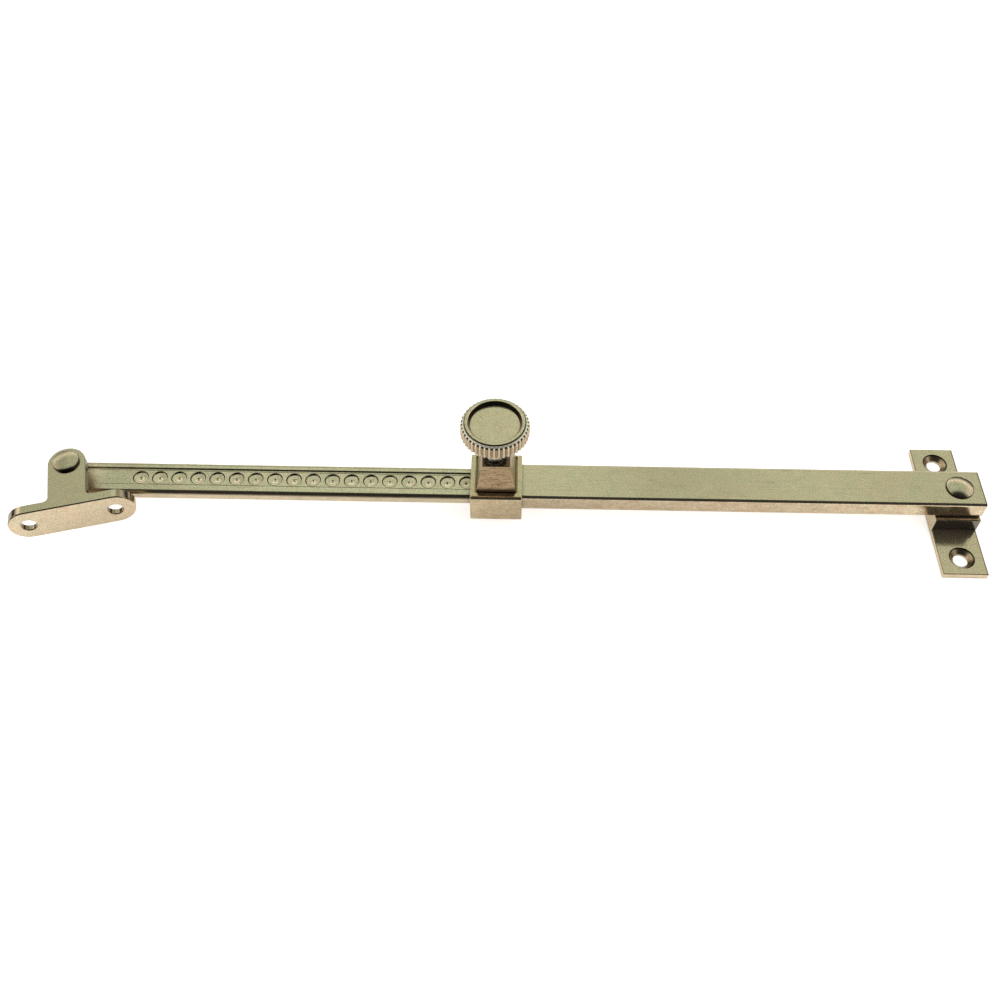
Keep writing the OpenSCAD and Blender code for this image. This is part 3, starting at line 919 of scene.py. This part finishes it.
def plating(g, f, spot, mottle, streaks):
    """Plate colour: patches, clouds, streaks and grain."""
    broad = g.noise(spot, scale=0.055, detail=3, rough=0.6, distortion=0.4)
    cloud = g.noise(g.vmath("ADD", spot, (31.7, 11.3, 5.1)), scale=0.21, detail=3, rough=0.6,
                    distortion=1.2)
    fine = g.noise(spot, scale=2.4, detail=3, rough=0.6)
    grain = g.noise(spot, scale=2.9, detail=1, rough=0.5)
    colour = g.mix(g.ramp(mottle, 0.38, 0.62), f.base, f.patch)
    # (colour, noise, ramp start, ramp end, amount)
    for over, noise, start, end, amount in (
            (f.warm, broad, 0.44, 0.62, 0.75),
            (scale_colour(f.patch, 0.80, 0.84, 0.80), cloud, 0.50, 0.70, 0.45 * f.mottling),
            (scale_colour(f.base, 1.14, 1.12, 1.14), cloud, 0.46, 0.32, 0.55 * f.mottling),
            (f.dark, streaks, 0.50, 0.72, 0.42 * f.mottling),
            (f.dark, fine, 0.52, 0.72, 0.34 * f.mottling),
            (f.dark, grain, 0.50, 0.66, 0.26),
            (brighten(f.base, 1.20), grain, 0.50, 0.34, 0.75)):
        colour = g.coat(colour, over, g.ramp(noise, start, end), amount)
    return colour


def tarnish(g, f, colour, spot, cavity):
    """Stains on upright front faces, tarnish and painted shade in corners and recesses, and
    painted dark shade and reflection on one upright face.
    """
    facing = g.ramp(g.vmath("DOT_PRODUCT", g.normal, (0.0, -1.0, 0.0)), 0.75, 0.95)
    stain = g.noise(g.scaled(spot, (0.55, 1.0, 1.3)), scale=0.55, detail=5, rough=0.68,
                    distortion=0.6)
    colour = g.coat(colour, scale_colour(f.warm, 0.72, 0.64, 0.56),
                    g.times(facing, g.ramp(stain, 0.42, 0.66)), f.front_stain)
    # tarnish in the hollows and painted shade under and between parts
    colour = g.coat(colour, scale_colour(f.dark, 0.22), cavity, f.cavity_dark)
    # painted dark blue-grey shade and reflection on an upright front face
    if f.dark_front:
        y, z = f.dark_front
        mask = g.times(g.ramp(g.place[1], y + 0.15, y), g.ramp(g.place[2], z, z + 0.1),
                       g.ramp(g.normal_axes[1], -0.50, -0.68))
        colour = g.coat(colour, (0.055, 0.064, 0.068), mask, amount=0.78)
    return colour


def wear(g, mottle):
    """Mask of the edges that are rubbed bright."""
    surface = g.add("ShaderNodeNewGeometry")
    bevel = g.add("ShaderNodeBevel", samples=4)
    bevel.inputs["Radius"].default_value = 0.00045
    dot = g.vmath("DOT_PRODUCT", bevel.outputs["Normal"], surface.outputs["Normal"])
    return g.times(g.ramp(dot, 0.995, 0.90), g.ramp(mottle, 0.35, 0.6, out=(0.35, 1.0)))


def deposits(g, f, colour, mottle):
    """Painted dark lines for shade and dark reflection: on the right-hand edge, round the screw
    seats and on broken edges.
    """
    soot = scale_colour(f.dark, 0.20)
    # painted dark reflection along the +X edge
    if f.right_edge:
        x, strength = f.right_edge
        mask = g.times(g.ramp(g.place[0], x - 0.60, x - 0.48),
                       g.ramp(g.normal_axes[2], 0.15, 0.30))
        colour = g.coat(colour, soot, mask, strength)
    # painted black shade rings in the screw seats
    for x, y, inner, outer in f.sunk_rings:
        radius = g.radius_from(x, y)
        mask = g.times(g.ramp(radius, inner, inner + 0.18),
                       g.ramp(radius, outer + 0.10, outer - 0.02))
        colour = g.coat(colour, soot, mask, amount=0.96)
    # painted dark reflection on the broken edges of top faces
    if f.edge_dark:
        up = g.normal_axes[2]
        mask = g.times(g.ramp(up, 0.10, 0.28), g.ramp(up, 0.985, 0.93),
                       g.ramp(mottle, 0.30, 0.50, out=(0.6, 1.0)))
        colour = g.coat(colour, soot, mask, f.edge_dark)
    return colour


def metal(name, **options):
    """A worn plated metal; Finish lists the options."""
    f = Finish(**options)
    material = bpy.data.materials.new(name)
    g = Graph(material)
    spot = g.vmath("ADD", g.in_mm(), (f.seed * 17.3, f.seed * 9.1, f.seed * 5.7))
    along = g.scaled(spot, f.streak)
    mottle = g.noise(spot, scale=0.36, detail=4, rough=0.62, distortion=0.8)
    streaks = g.noise(along, scale=1.6, detail=5, rough=0.7)
    hair = g.noise(along, scale=9.0, detail=3, rough=0.65)
    # ambient occlusion: tarnish in the hollows and painted shade under and between parts, and
    # rougher metal there
    occlusion = g.add("ShaderNodeAmbientOcclusion", samples=6)
    occlusion.inputs["Distance"].default_value = f.cavity_reach
    cavity = g.ramp(occlusion.outputs["AO"], 0.25, 0.80, out=(1.0, 0.0))
    worn = wear(g, mottle)

    colour = plating(g, f, spot, mottle, streaks)
    colour = tarnish(g, f, colour, spot, cavity)
    colour = g.coat(colour, f.edge or brighten(f.base, 1.12), worn, amount=0.55)
    colour = deposits(g, f, colour, mottle)

    rough = g.swing(f.rough, streaks, f.rough_spread * 2)
    rough = g.swing(rough, mottle, f.rough_spread)
    rough = g.plus(rough, g.times(cavity, f.cavity_rough))
    rough = g.math("SUBTRACT", rough, g.times(worn, 0.05))
    if f.matt_edge:
        y, added = f.matt_edge
        up = g.normal_axes[2]
        mask = g.times(g.ramp(g.place[1], y, y - 0.15), g.ramp(up, 0.12, 0.35),
                       g.ramp(up, 0.995, 0.97))
        rough = g.plus(rough, g.times(mask, added))
        # painted dark reflection along the rolled front edge
        colour = g.coat(colour, scale_colour(f.dark, 0.5), mask, amount=0.55)
    if f.matt_end:
        x, added = f.matt_end
        rough = g.plus(rough, g.times(g.ramp(g.place[0], x + 3.0, x), added))
    rough = g.math("MAXIMUM", g.math("MINIMUM", rough, 0.75), 0.06)

    # relief: long and short waves, hair-fine streaks, pits
    height = g.times(g.noise(spot, scale=0.16, detail=2, rough=0.5), f.wave)
    ripple = g.noise(spot, scale=0.8, detail=2, rough=0.5)
    height = g.plus(height, g.times(ripple, f.wave * 0.10))
    height = g.plus(height, g.times(hair, f.streak_bump))
    if f.pits:
        pitting = g.noise(spot, scale=5.5, detail=4, rough=0.7)
        height = g.plus(height, g.times(pitting, f.pits))
    if f.lines:
        axis_scales, scale, depth = f.lines
        marks = g.noise(g.scaled(g.row_mm, axis_scales), scale, detail=4, rough=0.75)
        height = g.plus(height, g.times(marks, depth))
        colour = g.coat(colour, f.dark, g.ramp(marks, 0.48, 0.64), amount=0.60)
        colour = g.coat(colour, brighten(f.base, 1.35), g.ramp(marks, 0.46, 0.34), amount=0.40)
        rough = g.swing(rough, marks, amount=0.25)
    if f.rings:
        wander = g.noise(g.row_mm, scale=0.25, detail=1, rough=0.5)
        turned = g.node("ShaderNodeCombineXYZ", g.radius_from(*f.rings), wander).outputs[0]
        marks = g.noise(g.scaled(turned, (1.0, 0.6, 0.0)), scale=6.0, detail=4, rough=0.7)
        height = g.plus(height, g.times(marks, 0.0015))
        rough = g.swing(rough, marks, amount=0.10)

    bump = g.add("ShaderNodeBump")
    shader = g.add("ShaderNodeBsdfPrincipled")
    for socket, value in (
            (bump.inputs["Strength"], 1.0), (bump.inputs["Distance"], 0.001),
            (bump.inputs["Height"], height), (shader.inputs["Metallic"], f.metallic),
            (shader.inputs["Base Color"], colour), (shader.inputs["Roughness"], rough),
            (shader.inputs["Normal"], bump.outputs[0])):
        g.put(socket, value)
    g.node("ShaderNodeOutputMaterial", shader.outputs[0])
    return material


def paint(ob, material):
    ob.data.materials.clear()
    ob.data.materials.append(material)


def mark_faces(ob, materials, choose):
    """Adds material slots; choose(centre in mm, normal) gives a face's slot, or None."""
    for material in materials:
        ob.data.materials.append(material)
    for face in ob.data.polygons:
        slot = choose(face.center * 1000, face.normal)
        if slot:
            face.material_index = slot


# ---------------------------------------------------------------- pieces
bar, dimples = make_bar()
knob = make_knob()
screw = make_screw()
frame_rivet = make_frame_rivet()
sash_rivet = make_sash_rivet()
plate = refine("frame_plate", "base", round_plate, "frame_plate_cast", 4)
tube = make_tube()
collar = make_collar()
tower = refine("screw_tower", "arm", round_tower, "screw_tower_filed", 3)
bracket = refine("sash_bracket", "sash", round_bracket,
                 "sash_bracket_dressed", 5)
# small parts: (node, bevel width)
for node_name, bevel_width in (
        ("frame_pivot_washer", 0.07), ("tube_end_plug", 0.12), ("pressure_foot", 0.05),
        ("bar_stop_shoe", 0.12), ("stop_shoe_rivet", 0.1), ("sash_pivot_washer", 0.1),
        ("sash_tail_washer", 0.08)):
    soften(node_name, bevel_width)

# ---------------------------------------------------------------- metals of the pieces
cast = metal(
    "nickel_cast", seed=1.0, rough=0.16, streak_bump=0.0012, wave=0.010, pits=0.0010,
    cavity_dark=0.6, front_stain=0.2, metallic=0.93, edge_dark=0.55,
    right_edge=(plate_hi[0], 0.60), dark_front=(-6.0, 1.95))
drawn = metal(
    "nickel_drawn", seed=2.0, rough=0.15, rough_spread=0.07, streak=(0.05, 1.0, 1.0),
    streak_bump=0.0030, wave=0.016, front_stain=0.60, metallic=0.97,
    right_edge=(tube_hi[0], 0.62))
punched = metal(
    "nickel_punched", seed=3.0, rough=0.14, rough_spread=0.07, base=(0.715, 0.595, 0.420),
    patch=(0.655, 0.585, 0.405), warm=(0.70, 0.565, 0.395), streak=(0.07, 1.0, 1.0),
    streak_bump=0.0028, wave=0.010, cavity_dark=0.90, cavity_reach=0.0045, front_stain=0.25,
    matt_edge=(bar_lo[1] + 1.20, 0.17), matt_end=(SASH_AXIS[0] + 8.0, 0.22))
collar_metal = metal(
    "nickel_collar", seed=4.0, rough=0.16, rough_spread=0.07, base=(0.680, 0.535, 0.345),
    patch=(0.600, 0.520, 0.325), warm=(0.66, 0.50, 0.30), streak=(0.25, 0.5, 1.0),
    streak_bump=0.0022, wave=0.012, front_stain=0.45, cavity_dark=0.35, cavity_rough=0.30,
    metallic=0.96)
filed = metal(
    "nickel_filed", seed=5.0, rough=0.26, rough_spread=0.10, base=(0.485, 0.345, 0.200),
    patch=(0.420, 0.300, 0.170), dark=(0.13, 0.085, 0.045), warm=(0.42, 0.29, 0.17),
    edge=(0.62, 0.50, 0.34), streak=(0.3, 0.3, 1.0), streak_bump=0.0015, wave=0.006,
    lines=((0.10, 0.25, 1.0), 1.9, 0.022), front_stain=0.25)
turned_metal = metal(
    "nickel_turned", seed=6.0, rough=0.13, rough_spread=0.05, wave=0.004, rings=SCREW_AXIS,
    cavity_dark=0.9, cavity_reach=0.0035)
frame_rivet_metal = metal(
    "nickel_rivet_frame", seed=7.0, rough=0.17, rough_spread=0.08, base=(0.62, 0.525, 0.37),
    patch=(0.57, 0.50, 0.35), warm=(0.58, 0.46, 0.31), streak=(0.6, 0.6, 0.6),
    streak_bump=0.0015, wave=0.012, pits=0.0012)
sash_rivet_metal = metal(
    "nickel_rivet_sash", seed=8.0, rough=0.19, rough_spread=0.08, base=(0.50, 0.44, 0.30),
    patch=(0.45, 0.41, 0.28), warm=(0.55, 0.44, 0.30), streak=(0.6, 0.6, 0.6),
    streak_bump=0.0015, wave=0.012, pits=0.0015)
forged = metal(
    "nickel_forged", seed=9.0, rough=0.15, streak=(0.6, 0.6, 0.6), streak_bump=0.0012,
    wave=0.012, pits=0.0008, mottling=0.7, front_stain=0.15, cavity_dark=0.85,
    cavity_reach=0.0045, edge_dark=0.60)
brass = metal(
    "brass_bare", seed=10.0, rough=0.24, rough_spread=0.10, base=(0.780, 0.600, 0.270),
    patch=(0.700, 0.540, 0.240), dark=(0.30, 0.20, 0.08), warm=(0.74, 0.54, 0.22),
    streak=(0.4, 0.4, 0.4), streak_bump=0.002, wave=0.006)
steel = metal(
    "steel_bright", seed=11.0, rough=0.26, rough_spread=0.10, base=(0.560, 0.550, 0.530),
    patch=(0.480, 0.470, 0.450), dark=(0.16, 0.14, 0.12), warm=(0.50, 0.47, 0.43),
    streak=(0.6, 0.6, 0.6), streak_bump=0.002, wave=0.004)

# a built piece and the CAD node it replaces wear the same metal
for piece, node_name, material in (
        (bar, "slide_bar", punched), (knob, "knob", turned_metal),
        (screw, "clamp_screw", steel), (frame_rivet, "frame_pivot_rivet", frame_rivet_metal),
        (sash_rivet, "sash_pivot_rivet", sash_rivet_metal), (plate, "frame_plate", cast),
        (tube, "outer_tube", drawn), (collar, "clamp_collar", collar_metal),
        (tower, "screw_tower", filed), (bracket, "sash_bracket", forged)):
    paint(piece, material)
    paint(NODES[node_name], material)
for node_name in ("frame_pivot_washer", "stop_shoe_rivet"):
    paint(NODES[node_name], steel)
for node_name in ("tube_end_plug", "pressure_foot", "bar_stop_shoe", "sash_pivot_washer",
                  "sash_tail_washer"):
    paint(NODES[node_name], brass)

# ---------------------------------------------------------------- metals of single faces
# darker, rougher screw-seat walls with painted black shade rings
sunk = metal(
    "nickel_sunk", seed=12.0, rough=0.30, rough_spread=0.10, base=(0.520, 0.405, 0.260),
    patch=(0.400, 0.320, 0.205), dark=(0.16, 0.11, 0.06), warm=(0.43, 0.32, 0.19),
    streak_bump=0.0015, wave=0.004, cavity_dark=0.5,
    sunk_rings=tuple((0.0, y, 3.22, 3.70) for y in PLATE_HOLES))
# near-black paint on the upper edges of the screw seats, a painted shade
sunk_edge = metal(
    "nickel_sunk_edge", seed=13.0, rough=0.34, rough_spread=0.08, base=(0.075, 0.060, 0.042),
    patch=(0.060, 0.050, 0.035), dark=(0.02, 0.015, 0.01), warm=(0.07, 0.05, 0.03))
# painted highlight on the knob's shoulder ring outside the rim
shoulder = metal(
    "nickel_shoulder", seed=14.0, rough=0.30, base=(0.93, 0.86, 0.74), patch=(0.90, 0.84, 0.72),
    dark=(0.6, 0.5, 0.38), warm=(0.92, 0.82, 0.68), cavity_dark=0.1, metallic=0.80)
# near-black paint on the knob's rim corner and dish wall and on rivet head walls: painted shade
# and dark reflection
tarnished = metal(
    "nickel_tarnished", seed=15.0, rough=0.30, rough_spread=0.08, base=(0.090, 0.075, 0.055),
    patch=(0.070, 0.060, 0.045), dark=(0.02, 0.015, 0.01), warm=(0.08, 0.06, 0.04))
# near-black paint on the notches' upper ends: painted shadow under the rim
notch = metal(
    "nickel_notch", seed=16.0, rough=0.45, rough_spread=0.05, base=(0.050, 0.040, 0.030),
    patch=(0.040, 0.034, 0.026), dark=(0.01, 0.008, 0.006), warm=(0.05, 0.04, 0.03))
# painted shade in the notch roots between the teeth
root = metal(
    "nickel_root", seed=17.0, rough=0.32, base=(0.360, 0.275, 0.180),
    patch=(0.300, 0.230, 0.150), dark=(0.10, 0.07, 0.04), warm=(0.33, 0.25, 0.16))
shade = metal(
    "nickel_shade", seed=18.0, rough=0.26, rough_spread=0.08, base=(0.200, 0.165, 0.115),
    patch=(0.160, 0.135, 0.095), dark=(0.05, 0.04, 0.025), warm=(0.18, 0.14, 0.09))


def knob_face(centre, normal):
    """1 rim corner and dish wall, painted dark reflection; 2 shoulder, painted highlight; 3 upper
    ends of the notches, painted shadow; 4 notch roots, painted shade.
    """
    dx, dy, z = centre.x - SCREW_AXIS[0], centre.y - SCREW_AXIS[1], centre.z
    r = math.hypot(dx, dy)
    upright = abs(normal.z)
    pitches = math.atan2(dy, dx) * KNOB_TEETH / (2 * math.pi)
    off_tooth = abs(pitches - round(pitches))
    if z > KNOB_TOP - 0.40 and r > KNOB_RIM - 0.36 and upright < 0.985:
        return 1
    if z > KNOB_TOP - 1.28 and r < KNOB_RIM - 1.16 and upright < 0.97:
        return 1
    if z > KNOB_LEDGE - 0.03 and KNOB_RIM - 0.1 < r < KNOB_TIP - 0.36:
        return 2
    if KNOB_LEDGE - 0.60 < z <= KNOB_LEDGE - 0.03 and r > KNOB_RIM:
        return 3 if off_tooth > 0.19 else None
    if KNOB_TOP - 4.6 < z <= KNOB_LEDGE - 0.60 and r > KNOB_TIP - 0.60:
        return 4 if off_tooth > 0.24 else None
    return None


def rivet_face(axis, radius, seat_z):
    """Chooser for the side wall of a rivet head, painted near-black as shade and dark reflection.
    """
    def choose(centre, normal):
        r = math.hypot(centre.x - axis[0], centre.y - axis[1])
        return centre.z > seat_z and r > radius - 0.14 and normal.z < 0.62
    return choose


def bar_face(centre, normal):
    """Walls of the dimples."""
    if not (PANEL_Z - 0.45 < centre.z < PANEL_Z and 0.3 < normal.z < 0.93):
        return None
    k = round((centre.x - dimples[0][0]) / DIMPLE_PITCH)
    if not 0 <= k < len(dimples):
        return None
    x, y = dimples[k]
    return 1.98 < math.hypot(centre.x - x, centre.y - y) < 2.34


def tower_face(centre, normal):
    """The tower's top, under the knob."""
    return normal.z > 0.8 and centre.z > tower_hi[2] - 0.25


def bracket_face(centre, normal):
    """The upper tab's side towards the bar."""
    x, y, z = bracket_axes(centre)
    toward_bar = normal.x * math.cos(BRACKET_YAW) + normal.y * math.sin(BRACKET_YAW)
    return (toward_bar > 0.9 and -BRACKET_REACH + 4.2 < y < 1.5
            and z > bracket_hi[2] - 4.0 and x < 7.5)


def plate_face(centre, normal):
    """1 walls of the screw seats, with painted black shade rings; 2 their upper edges, painted
    near-black as shade.
    """
    if centre.z < 0.2 or abs(normal.z) > 0.97:
        return None
    r = min(math.hypot(centre.x, centre.y - y) for y in PLATE_HOLES)
    if r >= 3.95:
        return None
    return 2 if r > 3.45 and centre.z > plate_lo[2] + 1.65 else 1


mark_faces(knob, (tarnished, shoulder, notch, root), knob_face)
mark_faces(frame_rivet, (tarnished,),
           rivet_face(FRAME_AXIS, frame_rivet_hi[0] - FRAME_AXIS[0], tube_hi[2]))
mark_faces(sash_rivet, (tarnished,),
           rivet_face(SASH_AXIS, sash_rivet_hi[0] - SASH_AXIS[0], bracket_hi[2]))
mark_faces(bar, (shade,), bar_face)
mark_faces(tower, (shade,), tower_face)
mark_faces(bracket, (shade,), bracket_face)
mark_faces(plate, (sunk, sunk_edge), plate_face)


# ---------------------------------------------------------------- floor
# glow seen in reflections along x: (x in metres, strength)
FLOOR_GLOW = [(-0.34, 0.36), (-0.27, 0.34), (-0.23, 0.20), (-0.17, 0.11), (-0.12, 0.06),
              (-0.085, 0.08), (-0.05, 0.15), (-0.025, 0.24), (0.0, 0.42), (0.06, 0.50)]


def floor_material():
    """Pale matt floor that glows evenly, but in bands where metal reflects it."""
    material = bpy.data.materials.new("floor_pale")
    g = Graph(material)
    place = g.coords["Object"]
    grain = g.noise(place, scale=40.0, detail=2, rough=0.5)
    colour = g.mix(grain, (0.90, 0.90, 0.90), (0.915, 0.915, 0.915))
    glossy = g.add("ShaderNodeLightPath").outputs["Is Glossy Ray"]
    reflected = g.times(g.curve(g.split(place)[0], -0.4, 0.1, FLOOR_GLOW), glossy)
    direct = g.times(0.62, g.math("SUBTRACT", 1.0, glossy))
    diffuse = g.node("ShaderNodeBsdfDiffuse", colour)
    glow = g.node("ShaderNodeEmission", (1, 1, 1, 1), g.plus(reflected, direct))
    both = g.node("ShaderNodeAddShader", diffuse.outputs[0], glow.outputs[0])
    g.node("ShaderNodeOutputMaterial", both.outputs[0])
    return material


def make_floor():
    half, z = 6.0, -0.0003                  # metres
    mesh = bpy.data.meshes.new("floor")
    corners = [(-half, -half, z), (half, -half, z), (half, half, z), (-half, half, z)]
    mesh.materials.append(floor_material())
    mesh.from_pydata(corners, [], [(0, 1, 2, 3)])
    place_object("floor", mesh)


make_floor()

# ---------------------------------------------------------------- studio surroundings
CAMERA_AZIMUTH = math.radians(1.019)        # from -Y towards +X
CAMERA_RISE = math.radians(52.788)
CAMERA_DIRECTION = Vector((math.sin(CAMERA_AZIMUTH) * math.cos(CAMERA_RISE),
                           -math.cos(CAMERA_AZIMUTH) * math.cos(CAMERA_RISE),
                           math.sin(CAMERA_RISE)))
# light and dark bands across the room: (x of the direction, brightness)
ROOM_BANDS = [(-0.58, 0.70), (-0.40, 0.72), (-0.33, 0.80), (-0.26, 0.96), (-0.12, 1.12),
              (0.0, 1.16), (0.06, 1.05), (0.13, 0.76), (0.19, 0.82), (0.265, 1.08),
              (0.325, 0.84), (0.6, 0.9)]


def make_world():
    world = bpy.data.worlds.new("studio")
    bpy.context.scene.world = world
    g = Graph(world)
    direction = g.coords["Generated"]
    x, y, z = g.split(direction)
    rays = g.add("ShaderNodeLightPath").outputs
    near = g.ramp(g.vmath("DOT_PRODUCT", direction, tuple(CAMERA_DIRECTION)), 0.60, 0.80)
    over = g.ramp(g.vmath("DOT_PRODUCT", direction, (0.0, 0.605, 0.796)), 0.55, 0.93)
    left = g.ramp(g.vmath("DOT_PRODUCT", direction, (-1.0, 0.0, 0.0)), 0.3, 0.9)
    room = g.mix(over, (1.00, 0.96, 0.90), (0.70, 0.82, 0.70))
    room = g.coat(room, (1.05, 0.98, 0.92), left, amount=0.5)
    # the bands lie above and behind the stay
    bands = g.curve(x, -0.6, 0.6, ROOM_BANDS)
    room = g.mix(over, room, g.mix(1.0, room, bands, "MULTIPLY"))
    # bright strip low at the back
    strip = g.times(g.ramp(z, 0.38, 0.46), g.ramp(z, 0.66, 0.56))
    strip = g.times(strip, g.ramp(y, 0.15, 0.55))
    room = g.coat(room, (1.45, 1.42, 1.30), strip, amount=0.8)
    # dark towards the camera and along the unlit foot of the walls
    room = g.mix(near, room, (0.022, 0.026, 0.030))
    room = g.mix(g.ramp(z, 0.20, 0.40, out=(1.0, 0.0)), room, (0.040, 0.042, 0.044))
    room = g.mix(rays["Is Camera Ray"], room, (1.0, 1.0, 1.0))
    room = g.mix(rays["Is Diffuse Ray"], room, (0.55, 0.55, 0.55))
    g.node("ShaderNodeOutputWorld", g.node("ShaderNodeBackground", room, 1.0).outputs[0])


def area_light(name, place, power):
    """Soft square light aimed at the middle of the stay, hidden from reflections."""
    light = bpy.data.lights.new(name, "AREA")
    light.shape = "RECTANGLE"
    light.size = light.size_y = 0.5
    light.energy = power
    light.color = (1.0, 0.985, 0.96)
    ob = place_object(name, light)
    ob.location = place
    aim = Vector((-0.133, 0.0, 0.01)) - Vector(place)
    ob.rotation_euler = aim.to_track_quat("-Z", "Y").to_euler()
    ob.visible_glossy = False
    ob.visible_camera = False


def make_camera():
    camera = bpy.data.cameras.new("camera")
    camera.sensor_fit = "HORIZONTAL"
    camera.sensor_width = 36.0
    camera.lens = 38.891484
    camera.clip_start = 0.01
    camera.clip_end = 20
    ob = place_object("camera", camera)
    target = Vector((-0.133568, -0.004031, 0.008))
    distance = 0.316439
    roll = math.radians(0.171)
    back = CAMERA_DIRECTION.normalized()
    right = (-back).cross(Vector((0, 0, 1))).normalized()
    up = right.cross(-back).normalized()
    rolled_right = right * math.cos(roll) + up * math.sin(roll)
    rolled_up = -right * math.sin(roll) + up * math.cos(roll)
    matrix = Matrix((rolled_right, rolled_up, back)).transposed().to_4x4()
    matrix.translation = target + back * distance
    ob.matrix_world = matrix
    bpy.context.scene.camera = ob


make_world()
area_light("key", place=(-0.45, 0.25, 0.75), power=2.2)
area_light("fill", place=(0.35, -0.35, 0.6), power=1.2)
make_camera()

view = bpy.context.scene.view_settings
view.view_transform = "Standard"
view.look = "None"
view.exposure = 0.0
view.gamma = 1.0
